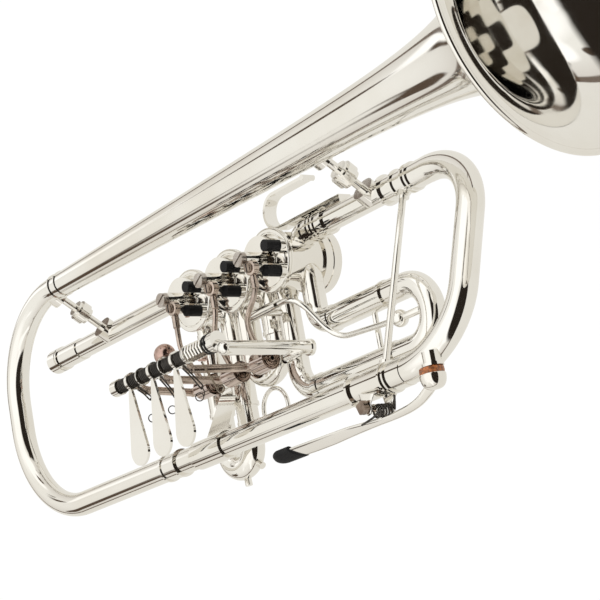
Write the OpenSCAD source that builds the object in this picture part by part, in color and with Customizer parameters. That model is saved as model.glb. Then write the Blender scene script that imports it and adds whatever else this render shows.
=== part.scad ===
// Rotary valve trumpet, lying flat with its lever side up.
// X runs from the mouthpiece end to the bell, Y across the loop, Z up.
// The origin is the middle of the receiver's mouth. Sizes are in millimetres.

/* [Main loop] */
// Receiver mouth to bell rim
bell_end = 482; // [470:0.5:495]
// Bell axis across from the leadpipe
bell_y = 26; // [24:0.5:28]
// Height of the bell and the lower tube over the leadpipe
side_rise = 37.6; // [36:0.1:40]
// Lower tube axis across from the leadpipe
low_y = -100; // [-104:0.5:-96]
// Where the bell bow meets the bell and the lower tube
bow_x = 67; // [60:0.5:75]
// Centreline radius of the bell bow's two corners
bow_radius = 55.4; // [50:0.1:60]
// Where the tuning bow starts
tuning_x = 351; // [345:0.5:360]
// Centreline radius of the tuning bow's two corners
tuning_radius = 34.2; // [30:0.1:40]

/* [Tubing] */
// Outer radius of the valve tubing
tube_r = 6; // [5.5:0.05:6.5]
// Outer radius of the lower tube
low_r = 6.4; // [6:0.05:7]
// Outer radius of the bell bow
bow_r = 6.7; // [6.2:0.05:7.2]
// Outer radius of the tuning bow
tuning_r = 6.8; // [6.4:0.05:7.2]
// Wall of every tube
wall = 0.55; // [0.4:0.05:0.8]
// Radial clearance between a sleeve and its inner tube
slide_fit = 0.05; // [0.03:0.01:0.08]

/* [Bell] */
// Radius over the rim bead
rim_r = 68.5; // [65:0.1:72]
// Radius of the rolled bead
bead_r = 1.5; // [1:0.1:2]
// Radius where the bell leaves its bow
tail_r = 6.8; // [6.5:0.05:7.5]
// Growth of the even taper over the whole bell
taper_gain = 8; // [6:0.1:10]
// Length over which the flare dies away
flare_length = 24; // [20:0.5:30]
// Wall of the bell
bell_wall = 0.7; // [0.5:0.05:1]

/* [Receiver and leadpipe] */
// Depth of the mouthpiece bore
shank_depth = 22; // [18:0.5:26]
// Radius of the mouthpiece bore
shank_r = 4.95; // [4.8:0.01:5.2]
// Length of the receiver
receiver_length = 26; // [22:0.5:32]
// Outer radius of the receiver
receiver_r = 6.6; // [6:0.05:7.5]
// Radius of the receiver's collar
collar_r = 7.3; // [7:0.05:8]

/* [Valves] */
// Axis of the first valve along the leadpipe
valve_x = 167.5; // [160:0.5:175]
// Distance between two valve axes
valve_pitch = 36; // [34:0.5:38]
// Distance from a valve axis to the middle of each port tube
port_offset = 11.2; // [10.5:0.1:12]
// Radius of the rotor
rotor_r = 13.6; // [13:0.05:14]
// Radial clearance of the rotor and its shafts
rotor_fit = 0.05; // [0.02:0.01:0.08]
// Radius of the air passage
bore_r = 5.1; // [4.8:0.05:5.3]
// Outer radius of the casing
casing_r = 15.2; // [14.8:0.1:16]
// Half the height of the casing
casing_half = 13.5; // [12:0.5:15]
// Radius of the rotor's shafts
shaft_r = 4; // [3.5:0.1:4.5]
// Radius of the bearing plate and the rear cap
cap_r = 17.1; // [16.5:0.1:17.5]
// Reach of the rear cap behind the casing
cap_back = 5; // [4:0.5:7]

/* [Stops] */
// Turn of a rotor between its two stops, in degrees
rotor_turn = 90; // [88:0.5:92]
// Distance from a valve axis to its bumpers
bumper_ring = 13.2; // [12.5:0.1:13.8]
// Radius of a bumper
bumper_r = 3.1; // [2.8:0.1:3.3]
// Direction midway between the two bumpers
bumper_middle = -12; // [-20:1:0]
// Half the angle between the two bumpers
bumper_spread = 29; // [25:1:32]
// Height of the bumpers' free end
bumper_top = 28.4; // [27:0.1:30]
// Distance from a valve axis to its ball stud
stud_ring = 9.2; // [8.8:0.1:10]

/* [Levers] */
// Lever axle across from the leadpipe
axle_y = -54.6; // [-56:0.1:-53]
// Lever axle over the leadpipe
axle_z = 60; // [58:0.5:63]
// Radius of the axle
axle_r = 1.8; // [1.5:0.1:1.9]
// First lever's hub along the leadpipe
hub_x = 162.9; // [161:0.1:164]
// Distance between two hubs
hub_pitch = 21.2; // [21:0.1:21.6]
// Reach of a finger paddle below the axle
paddle_reach = 45.2; // [42:0.1:46]
// Width of a finger paddle
paddle_width = 15.6; // [12:0.1:16]
// Thickness of a lever's leaf
leaf = 1.5; // [1.2:0.1:1.8]
// First link cup along the leadpipe
cup_x = 177; // [172:0.5:180]
// Distance between two link cups
cup_pitch = 25.5; // [24:0.5:27]
// Link cups across from the leadpipe
cup_y = -62; // [-65:0.5:-58]
// Link cups over the leadpipe
cup_z = 22; // [18:0.5:26]
// Outer radius of a link cup
cup_r = 5.75; // [5.4:0.05:6]

/* [Lever springs] */
// Wire of the dark springs
spring_wire = 0.9; // [0.7:0.05:1]
// Middle radius of the dark springs
spring_r = 3.55; // [3.5:0.05:3.7]
// Advance of the dark springs in each turn
spring_pitch = 1.4; // [1.35:0.05:1.6]
// Turns of one dark spring
spring_turns = 5; // [3:1:5]
// Wire of the pale end spring
end_wire = 1.6; // [1.2:0.1:1.8]
// Turns of the pale end spring
end_turns = 6; // [4:1:7]

/* [Valve slides] */
// Outer radius of the outer sleeves
sleeve_r = 6.6; // [6.5:0.05:6.7]
// Middle of the first slide's bow
first_bow_y = -94; // [-98:0.5:-86]
// Middle of the second slide's bow
second_bow_y = -51.5; // [-54:0.5:-49]
// Upper leg of the third slide
third_upper_y = -49; // [-52:0.5:-47]
// Lower leg of the third slide
third_lower_y = -80; // [-83:0.5:-78]
// Start of the third slide's bow
third_bow_x = 319.5; // [315:0.5:325]
// End of the third slide's outer sleeves
third_sleeve_x = 306; // [300:0.5:310]
// Pull of the third slide
third_travel = 15; // [10:1:16]

/* [Water key] */
// Nipple along the leadpipe
key_x = 371; // [364:0.5:372]
// Hinge along the leadpipe
key_hinge_x = 326; // [320:0.5:332]
// Hinge across from the leadpipe
key_hinge_y = -112; // [-116:0.5:-110]
// End of the touch piece
key_tip_x = 249; // [244:0.5:256]

/* [Hidden] */
$fn = 48;

silver = [0.86, 0.85, 0.82];
warm = [0.74, 0.66, 0.58];
dark = [0.16, 0.15, 0.15];
amber = [0.7, 0.42, 0.16];

// Worked out from the settings above
valve_y = -port_offset;
loop_width = norm([low_y, side_rise]);
loop_tilt = -atan2(side_rise, -low_y);
bell_length = bell_end - bow_x;
bow_left = bow_x - bow_radius;
stub = port_offset + 2.8;
elbow_r = (stub - port_offset) / (sqrt(2) - 1);
plate_base = casing_half;
plate_top = plate_base + 3.5;
arm_base = bumper_top + 0.4;
arm_top = arm_base + 2.4;
rod_z = arm_top + 2.4;
screw_top = arm_top + 5.8;
stop_hub_r = 4.2;
stud_x = stud_ring * cos(rotor_turn / 2);
stud_swing = stud_ring - stud_x;
stop_angle = asin(bumper_r / bumper_ring) + 1;
inner_r = sleeve_r - wall - slide_fit;
low_ferrule_x = 159;
upper_ring_x = 319;
lower_ring_x = 313;
inner_end_x = 344;
brace_x = 333;
key_y = low_y - 3.6;
key_z = side_rise + 3.4;
cup_top = key_y - 3.2;
cork_r = 4.6;
key_drop = 6.6;
barrel_r = 2.7;
hub_r = 4.7;
hub_half = hub_pitch / 2 - 0.2;
clamp_x = hub_at(2) + 29;
guide_y = -36;
guide_z = 19;

function valve_at(i) = valve_x + valve_pitch * i;
function hub_at(i) = hub_x + hub_pitch * i;
function cup_at(i) = cup_x + cup_pitch * i;

// Radius of the bell at a distance from its rim: an even taper plus a flare
// that dies away along the throat.
function bell_radius(d) =
    tail_r + taper_gain * pow(1 - d / bell_length, 0.95)
    + (rim_r - tail_r - taper_gain) * exp(-pow(d / flare_length, 0.85));
function bell_slope(d) = (bell_radius(d) - bell_radius(d - 0.05)) / 0.05;

// Section of a tube
module ring(outer, inner) {
    difference() {
        circle(r = outer);
        circle(r = inner);
    }
}

module pipe(length, outer, inner) {
    linear_extrude(length) ring(outer, inner);
}

module pipe_x(x0, x1, outer, inner) {
    translate([x0, 0, 0]) rotate([0, 90, 0]) pipe(x1 - x0, outer, inner);
}

module pipe_y(y0, y1, outer, inner) {
    translate([0, y0, 0]) rotate([-90, 0, 0]) pipe(y1 - y0, outer, inner);
}

module disc_x(x0, x1, radius) {
    translate([x0, 0, 0]) rotate([0, 90, 0]) cylinder(r = radius, h = x1 - x0);
}

module disc_y(y0, y1, radius) {
    translate([0, y0, 0]) rotate([-90, 0, 0]) cylinder(r = radius, h = y1 - y0);
}

module disc_z(z0, z1, radius) {
    translate([0, 0, z0]) cylinder(r = radius, h = z1 - z0);
}

// Part of a torus about Z, starting on +X and turning anticlockwise
module bend(radius, turn, outer, inner) {
    rotate_extrude(angle = turn) translate([radius, 0]) ring(outer, inner);
}

// Straight round bar between two points
module bar(p, q, radius) {
    d = q - p;
    translate(p)
        rotate([0, acos(d[2] / norm(d)), atan2(d[1], d[0])])
            cylinder(r = radius, h = norm(d));
}

// Round bar with soft corners through a list of points
module bent_bar(points, radius) {
    for (i = [1 : len(points) - 1]) {
        bar(points[i - 1], points[i], radius);
    }
    for (i = [1 : len(points) - 2]) {
        translate(points[i]) sphere(r = radius * 1.12);
    }
}

module at_bell() {
    translate([0, bell_y, side_rise]) children();
}

module at_low() {
    translate([0, low_y, side_rise]) children();
}

module at_valve(i) {
    translate([valve_at(i), valve_y, 0]) children();
}

// Plane of the tuning bow: local -Y points from the upper leg to the lower one
module in_tuning_plane() {
    rotate([loop_tilt, 0, 0]) children();
}

// Bell body filled solid, used to seat pieces on the bell
module bell_solid() {
    points = [for (i = [0 : 36]) let (d = bell_length * pow(i / 36, 2.2))
        [bell_radius(d), bell_end - d]];
    at_bell() rotate([0, 90, 0]) rotate_extrude()
        polygon(concat([[0, bow_x], [0, bell_end]], points));
}

module bell() {
    steps = 36;
    bead = [rim_r - bead_r, bell_end - bead_r];
    outer = [for (i = [3 : steps]) let (d = bell_length * pow(i / steps, 2.2))
        [bell_radius(d), bell_end - d]];
    inner = [for (i = [steps - 1 : -1 : 3]) let (
            d = bell_length * pow(i / steps, 2.2),
            m = bell_slope(d),
            k = bell_wall / sqrt(1 + m * m))
        [bell_radius(d) - k, bell_end - d - m * k]];
    tail = [[tail_r - bell_wall, bow_x]];
    rim = [for (k = [0 : 14]) let (a = 164 - k * 23.75)
        bead + bead_r * [cos(a), sin(a)]];
    color(silver) at_bell() rotate([0, 90, 0]) rotate_extrude()
        polygon(concat(outer, tail, inner, rim));
}

module bell_bow() {
    bore = bow_r - wall;
    color(silver) translate([0, 0, side_rise]) {
        translate([bow_x, bell_y - bow_radius, 0]) rotate(90)
            bend(bow_radius, 90, bow_r, bore);
        translate([bow_left, 0, 0])
            pipe_y(low_y + bow_radius, bell_y - bow_radius, bow_r, bore);
        translate([bow_x, low_y + bow_radius, 0]) rotate(180)
            bend(bow_radius, 90, bow_r, bore);
        translate([0, low_y, 0]) pipe_x(bow_x, low_ferrule_x, bow_r, bore);
    }
}

module lower_tube() {
    color(silver) at_low()
        pipe_x(low_ferrule_x, inner_end_x, low_r, low_r - wall);
}

// Solder ferrules, each a short ring with a raised bead at both ends
module ferrule(x0, x1, inner, bead = 1.2) {
    pipe_x(x0, x1, inner + 0.6, inner);
    pipe_x(x0, x0 + bead, inner + 1.2, inner);
    pipe_x(x1 - bead, x1, inner + 1.2, inner);
}

module main_ferrules() {
    color(silver) {
        at_low() {
            difference() {
                ferrule(low_ferrule_x - 7, low_ferrule_x + 7, low_r, 1.6);
                disc_x(0, low_ferrule_x, bow_r);
            }
        }
        difference() {
            at_bell() ferrule(bow_x + 4, bow_x + 12, tail_r - 0.4);
            bell_solid();
        }
        ferrule(valve_x - stub - 9, valve_x - stub - 0.6, tube_r);
        translate([valve_at(2) + stub, 0, 0]) {
            pipe_x(0.6, 20, tube_r + 0.6, tube_r);
            for (x = [0.6, 6, 9, 12, 18.6]) {
                pipe_x(x, x + 1.4, tube_r + 1.3, tube_r);
            }
        }
    }
}

module leadpipe() {
    length = valve_x - stub - 0.2 - receiver_length;
    color(silver) translate([receiver_length, 0, 0]) rotate([0, 90, 0])
        difference() {
            union() {
                cylinder(r1 = tube_r - 0.6, r2 = tube_r, h = length * 0.7);
                cylinder(r = tube_r, h = length);
            }
            translate([0, 0, -1]) cylinder(r = tube_r - wall, h = length + 2);
        }
}

module mouthpiece_receiver() {
    color(silver) difference() {
        union() {
            disc_x(0, receiver_length, receiver_r);
            disc_x(0, 8, collar_r);
            disc_x(9, 10.2, collar_r);
            disc_x(receiver_length, receiver_length + 5, receiver_r);
        }
        disc_x(-1, shank_depth, shank_r);
        disc_x(shank_depth - 1, receiver_length + 6, shank_r - 0.5);
        disc_x(receiver_length, receiver_length + 6, tube_r);
    }
}

module upper_leg() {
    color(silver)
        pipe_x(valve_at(2) + stub + 0.2, inner_end_x, tube_r, tube_r - wall);
}

// Brace with a saddle on each tube and a turned boss halfway
module brace_post(p, q, boss_r) {
    d = (q - p) / norm(q - p);
    middle = (p + q) / 2;
    bar(p, q, 2.2);
    bar(middle - d * 4.6, middle + d * 4.6, boss_r - 1.4);
    bar(middle - d * 2.6, middle + d * 2.6, boss_r);
}

module saddle(at, toward, radius) {
    d = (toward - at) / norm(toward - at);
    bar(at, at + d * (radius + 1.6), 6.5);
}

module rear_brace() {
    x = 63.5;
    p = [x, 0, 0];
    q = [x, bell_y, side_rise];
    color(silver) difference() {
        union() {
            brace_post(p, q, 6.2);
            saddle(p, q, tube_r);
            saddle(q, p, bow_r);
        }
        disc_x(0, 140, tube_r);
        at_bell() disc_x(0, bow_x, bow_r);
        bell_solid();
        translate([bow_x, bell_y - bow_radius, side_rise]) rotate(90)
            bend(bow_radius, 60, bow_r, 0.01);
    }
}

module front_brace() {
    x = 309;
    p = [x, 0, 0];
    q = [x, bell_y, side_rise];
    color(silver) difference() {
        union() {
            brace_post(p, p + (q - p) * 0.86, 6.6);
            saddle(p, q, tube_r);
            saddle(q, p, bell_radius(bell_end - x));
        }
        disc_x(280, 330, tube_r);
        bell_solid();
    }
}

// Sloping plate from a tie between the first slide's sleeves to the lower tube
module lower_brace() {
    tie_y = -62;
    slope = atan2(side_rise, low_y - tie_y);
    reach = norm([side_rise, low_y - tie_y]);
    left = valve_x - port_offset;
    right = valve_x + port_offset;
    color(silver) difference() {
        union() {
            translate([0, tie_y, 0]) disc_x(left, right, 2.4);
            translate([0, tie_y, 0]) rotate([slope, 0, 0])
                translate([0, 0, -0.9]) linear_extrude(1.8)
                    polygon([[left + 3, 0], [right - 3, 0],
                        [204, reach], [184, reach]]);
            at_low() disc_x(181, 207, low_r + 1);
        }
        at_low() disc_x(180, 208, low_r);
        for (x = [left, right]) {
            translate([x, 0, 0]) disc_y(-100, -40, sleeve_r);
        }
    }
}

// Flat strap bent into a finger hook, standing on the upper leg
module finger_hook() {
    x0 = 236;
    r = 9.4;
    half = 0.8;
    width = 8;
    low = tube_r + 1.45;
    color(silver) difference() {
        translate([0, 0, -width / 2]) linear_extrude(width) {
            translate([x0, low + half + r]) difference() {
                union() {
                    circle(r = r + half);
                    translate([0, -r - half]) square([26, 2 * (r + half)]);
                    translate([0, -r - half]) square([52, r]);
                }
                circle(r = r - half);
                translate([0, half - r]) square([60, 2 * (r - half)]);
            }
            translate([x0 + 26, low + half + 2 * r]) circle(r = 1.5);
            translate([x0 + 40, tube_r - 1]) square([12, 3]);
        }
        disc_x(200, 300, tube_r);
    }
}

// The four port elbows of a casing, filled solid: each leaves the rotor on a
// diagonal and ends in a short straight stub
module port_elbows(radius, extra) {
    for (side = [0, 1]) {
        mirror([side, 0, 0]) {
            port_elbow(radius, extra);
            rotate(-90) port_elbow(radius, extra + 2);
        }
    }
}

module port_elbow(radius, extra) {
    translate([stub, port_offset - elbow_r, 0]) rotate(90)
        rotate_extrude(angle = 60) translate([elbow_r, 0]) circle(r = radius);
    translate([0, port_offset, 0]) disc_x(stub, stub + extra, radius);
}

module valve_casing(i) {
    color(silver) at_valve(i) difference() {
        union() {
            disc_z(-casing_half, casing_half, casing_r);
            port_elbows(tube_r + 0.2, 0.2);
        }
        disc_z(-casing_half + 3, casing_half + 1, rotor_r + rotor_fit);
        disc_z(-casing_half - 1, -casing_half + 4, shaft_r + rotor_fit);
        port_elbows(bore_r, 1);
    }
}

module valve_1_casing() {
    valve_casing(0);
}

module valve_2_casing() {
    valve_casing(1);
}

module valve_3_casing() {
    valve_casing(2);
}

module valve_links() {
    color(silver) for (i = [0, 1]) {
        translate([valve_at(i) + stub, 0, 0]) {
            pipe_x(0.2, valve_pitch - 2 * stub - 0.2, tube_r, bore_r);
            pipe_x(0.4, valve_pitch - 2 * stub - 0.4, tube_r + 0.9, tube_r);
        }
    }
}

module bearing_plates() {
    color(silver) for (i = [0 : 2]) {
        at_valve(i) difference() {
            union() {
                disc_z(plate_base, plate_top, cap_r);
                disc_z(plate_top, plate_top + 1.6, 7.4);
            }
            disc_z(plate_base - 1, plate_top + 3, shaft_r + rotor_fit);
        }
    }
}

module rear_caps() {
    color(silver) for (i = [0 : 2]) {
        at_valve(i) {
            difference() {
                disc_z(-casing_half - cap_back, -casing_half, cap_r);
                disc_z(-casing_half - cap_back + 1.5, -casing_half + 1, cap_r - 2.4);
            }
            disc_z(-casing_half - cap_back - 1, -casing_half - cap_back, 6);
            difference() {
                disc_z(-casing_half, -8.5, cap_r - 0.4);
                disc_z(-casing_half - 1, -7, casing_r);
            }
        }
    }
}

module each_bumper() {
    for (side = [-1, 1]) {
        rotate(bumper_middle + side * bumper_spread)
            translate([bumper_ring, 0, 0]) children();
    }
}

module bumper_cups() {
    color(silver) for (i = [0 : 2]) {
        at_valve(i) each_bumper() difference() {
            disc_z(plate_top, plate_top + 3, bumper_r + 0.75);
            disc_z(plate_top + 1, plate_top + 7, bumper_r);
        }
    }
}

module stop_bumpers() {
    color(dark) for (i = [0 : 2]) {
        at_valve(i) each_bumper()
            disc_z(plate_top + 1, bumper_top, bumper_r);
    }
}

module rotor(i) {
    ring_r = rotor_r * sqrt(2);
    color(warm) at_valve(i) difference() {
        union() {
            disc_z(-10, 10, rotor_r);
            disc_z(-15.4, -9, shaft_r);
            disc_z(9, plate_top + 3.2, shaft_r);
        }
        for (side = [0, 180]) {
            rotate(side) translate([0, ring_r, 0]) rotate(215)
                rotate_extrude(angle = 110)
                    translate([rotor_r, 0]) circle(r = bore_r);
        }
        disc_z(plate_top - 4, plate_top + 4, 1.6);
    }
}

module rotor_1() {
    rotor(0);
}

module rotor_2() {
    rotor(1);
}

module rotor_3() {
    rotor(2);
}

// Half disc whose two shoulders meet the bumpers, a tall hub and the stud arm
module stop_arm(i) {
    a0 = bumper_middle + bumper_spread + stop_angle;
    a1 = bumper_middle - bumper_spread - stop_angle - rotor_turn + 360;
    low = plate_top + 3.2;
    color(silver) at_valve(i) difference() {
        union() {
            disc_z(low, arm_top + 2.6, stop_hub_r);
            difference() {
                disc_z(low, low + 3.6, 12.6);
                rotate(a1 - 360) translate([0, 0, low - 1])
                    rotate_extrude(angle = a0 - a1 + 360) square([20, 8]);
            }
            rotate(-rotor_turn / 2) {
                translate([0, -2.2, arm_base])
                    cube([stud_ring, 4.4, arm_top - arm_base]);
                translate([stud_ring, 0, 0]) {
                    disc_z(arm_base, arm_top, 3);
                    disc_z(arm_top, rod_z + 2.8, 1.7);
                }
            }
        }
        disc_z(low - 1, arm_top + 4, 1.6);
    }
}

module stop_arm_1() {
    stop_arm(0);
}

module stop_arm_2() {
    stop_arm(1);
}

module stop_arm_3() {
    stop_arm(2);
}

module stop_screw(i) {
    color(silver) at_valve(i) difference() {
        union() {
            disc_z(arm_top + 2.6, screw_top, stop_hub_r - 0.3);
            disc_z(plate_top - 3, arm_top + 2.6, 1.55);
        }
        rotate(30) translate([-6, -0.5, screw_top - 1])
            cube([12, 1, 2]);
    }
}

module stop_screw_1() {
    stop_screw(0);
}

module stop_screw_2() {
    stop_screw(1);
}

module stop_screw_3() {
    stop_screw(2);
}

// Connecting rod: eye on the stop arm's stud, sleeve, bend and ball end
module link_rod(i) {
    top = [valve_at(i) + stud_x, valve_y - stud_x, rod_z];
    turn = [top[0], -30, rod_z];
    knee = [top[0] - 5 * i - 1.5 * i * (i - 1), -42, rod_z];
    ball = [cup_at(i) - stud_swing / 2, cup_y, cup_z - 0.8];
    color(warm) difference() {
        union() {
            translate(top) disc_z(-1.9, 1.9, 3.9);
            bar(top + [0, -4.5, 0], top + [0, -11, 0], 1.95);
            bent_bar([top, turn, knee, ball], 1.45);
            translate(ball) sphere(r = 2.4);
        }
        translate(top) disc_z(-3, 3, 1.75);
    }
}

module link_rod_1() {
    link_rod(0);
}

module link_rod_2() {
    link_rod(1);
}

module link_rod_3() {
    link_rod(2);
}

// Lever: barrel on the axle, leaf down to the paddle, arm back to the link cup
module lever(i) {
    low_c = [0, -paddle_reach + paddle_width / 2];
    high_r = 1.6;
    color(silver) translate([hub_at(i), axle_y, axle_z]) {
        difference() {
            union() {
                disc_x(-hub_half, hub_half, barrel_r);
                disc_x(-1.1, 1.1, hub_r);
                disc_x(hub_half - 0.7, hub_half, hub_r);
                lever_leaf(low_c, high_r);
            }
            disc_x(-12, 12, axle_r + rotor_fit);
        }
    }
    color(warm) difference() {
        union() {
            translate([cup_at(i), cup_y, cup_z]) {
                disc_x(-5.8, 5.8, cup_r);
                disc_x(5.8, 6.4, cup_r - 1.4);
                disc_x(6.4, 7, cup_r - 3.4);
            }
            bent_bar([
                [hub_at(i), axle_y - 2.4, axle_z - 3],
                [hub_at(i), axle_y - 5, axle_z - 8],
                [cup_at(i) - 12, cup_y, cup_z + 1.5],
                [cup_at(i) - 5, cup_y, cup_z]
            ], 2.2);
        }
        translate([cup_at(i), cup_y, cup_z]) {
            disc_x(-5, 5, 4.6);
            translate([-5, 1.2, -8]) cube([10, 10, 16]);
        }
        translate([hub_at(i), axle_y, axle_z]) {
            disc_x(-hub_half, hub_half, 4.1);
            disc_x(-1.1, 1.1, hub_r);
        }
    }
}

// Leaf outline: a narrow neck widening to the round finger paddle
module lever_leaf(low_c, high_r) {
    r = paddle_width / 2;
    neck = [0, -6.5];
    span = neck[1] - low_c[1];
    lean = asin((r - high_r) / span);
    translate([0, 0, 0.9]) linear_extrude(leaf) {
        translate(low_c) circle(r = r);
        translate(neck) circle(r = high_r);
        polygon([
            neck + high_r * [cos(lean), sin(lean)],
            low_c + r * [cos(lean), sin(lean)],
            low_c + r * [-cos(lean), sin(lean)],
            neck + high_r * [-cos(lean), sin(lean)]
        ]);
        translate([-1.1, -7]) square([2.2, 7]);
    }
}

module lever_1() {
    lever(0);
}

module lever_2() {
    lever(1);
}

module lever_3() {
    lever(2);
}

// Points of a helix about X with a straight run at both ends
function coil_points(radius, pitch, turns, wire, hand) =
    let (
        n = 8 * turns,
        lead = 360 / 8,
        helix = [for (k = [0 : n]) [
            pitch * k / 8,
            radius * cos(lead * k),
            hand * radius * sin(lead * k)]],
        first = (helix[0] - helix[1]) / norm(helix[0] - helix[1]),
        last = (helix[n] - helix[n - 1]) / norm(helix[n] - helix[n - 1])
    )
    concat([helix[0] + first * wire], helix, [helix[n] + last * wire]);

// Least distance between wires that are at least half a turn apart
function coil_gap(points, wire) =
    min([for (i = [0 : len(points) - 1]) for (j = [i + 4 : 1 : len(points) - 1])
        norm(points[i] - points[j])]) - wire;

// Sweep a six-sided wire along points that wind about X
module wire_along(points, wire) {
    n = len(points);
    sides = 6;
    rows = [for (k = [0 : n - 1]) let (
            t0 = points[min(k + 1, n - 1)] - points[max(k - 1, 0)],
            t = t0 / norm(t0),
            out0 = [0, points[k][1], points[k][2]],
            out1 = out0 - t * (out0 * t),
            out = out1 / norm(out1),
            side = cross(t, out))
        [for (s = [0 : sides - 1]) points[k]
            + wire / 2 * (out * cos(60 * s) + side * sin(60 * s))]];
    flat = [for (row = rows) for (p = row) p];
    skin = [for (k = [0 : n - 2]) for (s = [0 : sides - 1]) let (
            a = k * sides + s,
            b = k * sides + (s + 1) % sides)
        each [[a, a + sides, b], [b, a + sides, b + sides]]];
    start = [for (s = [1 : sides - 2]) [0, s, s + 1]];
    end = [for (s = [1 : sides - 2]) let (e = (n - 1) * sides) [e, e + s + 1, e + s]];
    polyhedron(points = flat, faces = concat(skin, start, end));
}

module lever_spring(i) {
    points = coil_points(spring_r, spring_pitch, spring_turns, spring_wire, 1);
    echo(str("dark spring gap ", coil_gap(points, spring_wire)));
    color(dark) translate([hub_at(i), axle_y, axle_z]) {
        translate([-9.4, 0, 0]) wire_along(points, spring_wire);
        translate([1.8, 0, 0]) wire_along(points, spring_wire);
    }
}

module lever_spring_1() {
    lever_spring(0);
}

module lever_spring_2() {
    lever_spring(1);
}

module lever_spring_3() {
    lever_spring(2);
}

module lever_axle() {
    left = hub_at(0) - hub_half - 0.3;
    right = clamp_x + 5;
    color(silver) translate([0, axle_y, axle_z]) {
        disc_x(left - 2, right, axle_r);
        disc_x(left - 5.4, left, 4.4);
        disc_x(left - 6.6, left - 5.4, 3.2);
        disc_x(hub_at(2) + hub_half + 0.3, hub_at(2) + hub_half + 1.5, hub_r);
    }
}

// Clamp on the axle and the tube that carries it from the third valve
module axle_bracket() {
    post = [246.6, -59.8, 0];
    color(silver) difference() {
        union() {
            translate([0, axle_y, axle_z]) disc_x(clamp_x, clamp_x + 8, 5);
            bar([clamp_x + 4, axle_y - 1, axle_z], [post[0], post[1], axle_z], 3.2);
            translate([post[0], post[1], axle_z]) sphere(r = 3.75);
            translate(post) disc_z(6, axle_z, 3.75);
            translate(post) disc_z(5, 7, 4.4);
            translate([valve_at(2) - port_offset, post[1], 7])
                disc_x(0, post[0] - valve_at(2) + port_offset, 2.6);
            translate([valve_at(2) - port_offset, post[1], 0])
                disc_z(3, 8, 3.6);
        }
        translate([0, axle_y, axle_z]) {
            disc_x(clamp_x - 1, clamp_x + 5, axle_r);
            translate([clamp_x + 1, -0.9, 0]) cube([3, 1.8, 12]);
        }
        translate([valve_at(2) - port_offset, 0, 0]) disc_y(-70, -20, tube_r);
    }
}

module axle_end_spring() {
    pitch = 2.5;
    points = coil_points(4.2, pitch, end_turns, end_wire, 1);
    echo(str("pale spring gap ", coil_gap(points, end_wire)));
    color(silver) translate([hub_at(2) + hub_half + 2.6, axle_y, axle_z])
        wire_along(points, end_wire);
}

// Ball on a post that stands on the first slide's outer sleeve
module rest_ball() {
    leg = valve_x - port_offset;
    ball = [leg + 2, -39, 33];
    color(warm) difference() {
        union() {
            translate(ball) sphere(r = 6);
            bar([leg, -39, 3], ball, 1.8);
            translate([leg, -39, 0]) disc_z(4, 8.6, 3.4);
        }
        translate([leg, 0, 0]) disc_y(-60, -20, sleeve_r);
    }
}

// Two straight outer sleeves running down from a valve's lower ports
module slide_sleeves(i, y_end) {
    color(silver) for (sx = [-1, 1]) {
        translate([valve_at(i) + sx * port_offset, 0, 0]) {
            pipe_y(y_end, valve_y - stub - 2.2, sleeve_r, inner_r + slide_fit);
            pipe_y(y_end, y_end + 2, sleeve_r + 0.5, sleeve_r);
        }
    }
}

// Inner legs and bow; the legs start inside the sleeves
module slide_crook(i, y_top, y_ferrule, y_bow) {
    color(silver) translate([valve_at(i), 0, 0]) {
        for (sx = [-1, 1]) {
            translate([sx * port_offset, 0, 0]) {
                pipe_y(y_bow, y_top, inner_r, inner_r - wall);
                pipe_y(y_bow, y_ferrule, sleeve_r - 0.2, inner_r);
            }
        }
        translate([0, y_bow, 0]) rotate(180)
            bend(port_offset, 180, sleeve_r - 0.2, inner_r - wall);
    }
}

module first_slide_sleeves() {
    slide_sleeves(0, -74);
}

module first_slide_crook() {
    slide_crook(0, -34, -82, first_bow_y);
    color(silver) translate([valve_x, first_bow_y, 0]) {
        for (a = [-40, -85]) {
            rotate(a) disc_x(port_offset + sleeve_r - 1, port_offset + sleeve_r + 3.4, 2);
        }
    }
}

module second_slide_sleeves() {
    slide_sleeves(1, -44);
}

module second_slide_crook() {
    slide_crook(1, -30, -46.5, second_bow_y);
}

// Wire pull ring under the second slide
module second_slide_ring() {
    color(silver) translate([valve_at(1), second_bow_y, 0]) difference() {
        translate([0, -29.6, 0])
            rotate_extrude() translate([10.6, 0]) circle(r = 1.2);
        translate([0, 0, 0]) rotate(180) bend(port_offset, 180, sleeve_r - 0.2, 0.01);
    }
}

module third_slide_tubes() {
    upper_x = valve_at(2) + port_offset;
    lower_x = valve_at(2) - port_offset;
    start = valve_y - stub - 2.2;
    r1 = 9;
    r2 = 14;
    bore = tube_r - wall;
    color(silver) {
        translate([upper_x, 0, 0]) pipe_y(third_upper_y + r1, start, tube_r, bore);
        translate([upper_x + r1, third_upper_y + r1, 0]) rotate(180)
            bend(r1, 90, tube_r, bore);
        translate([0, third_upper_y, 0]) third_sleeve(upper_x + r1);
        translate([lower_x, 0, 0]) pipe_y(third_lower_y + r2, start, tube_r, bore);
        translate([lower_x + r2, third_lower_y + r2, 0]) rotate(180)
            bend(r2, 90, tube_r, bore);
        translate([0, third_lower_y, 0]) third_sleeve(lower_x + r2);
        translate([292, 0, -1.5]) difference() {
            disc_y(third_lower_y, third_upper_y, 1.5);
            translate([0, third_lower_y, 1.5]) disc_x(-5, 5, sleeve_r);
            translate([0, third_upper_y, 1.5]) disc_x(-5, 5, sleeve_r);
        }
    }
}

module third_sleeve(x0) {
    pipe_x(x0, third_sleeve_x, sleeve_r, inner_r + slide_fit);
    pipe_x(x0, x0 + 4, sleeve_r + 0.5, inner_r + slide_fit);
    pipe_x(third_sleeve_x - 2, third_sleeve_x, sleeve_r + 0.5, sleeve_r);
}

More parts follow.
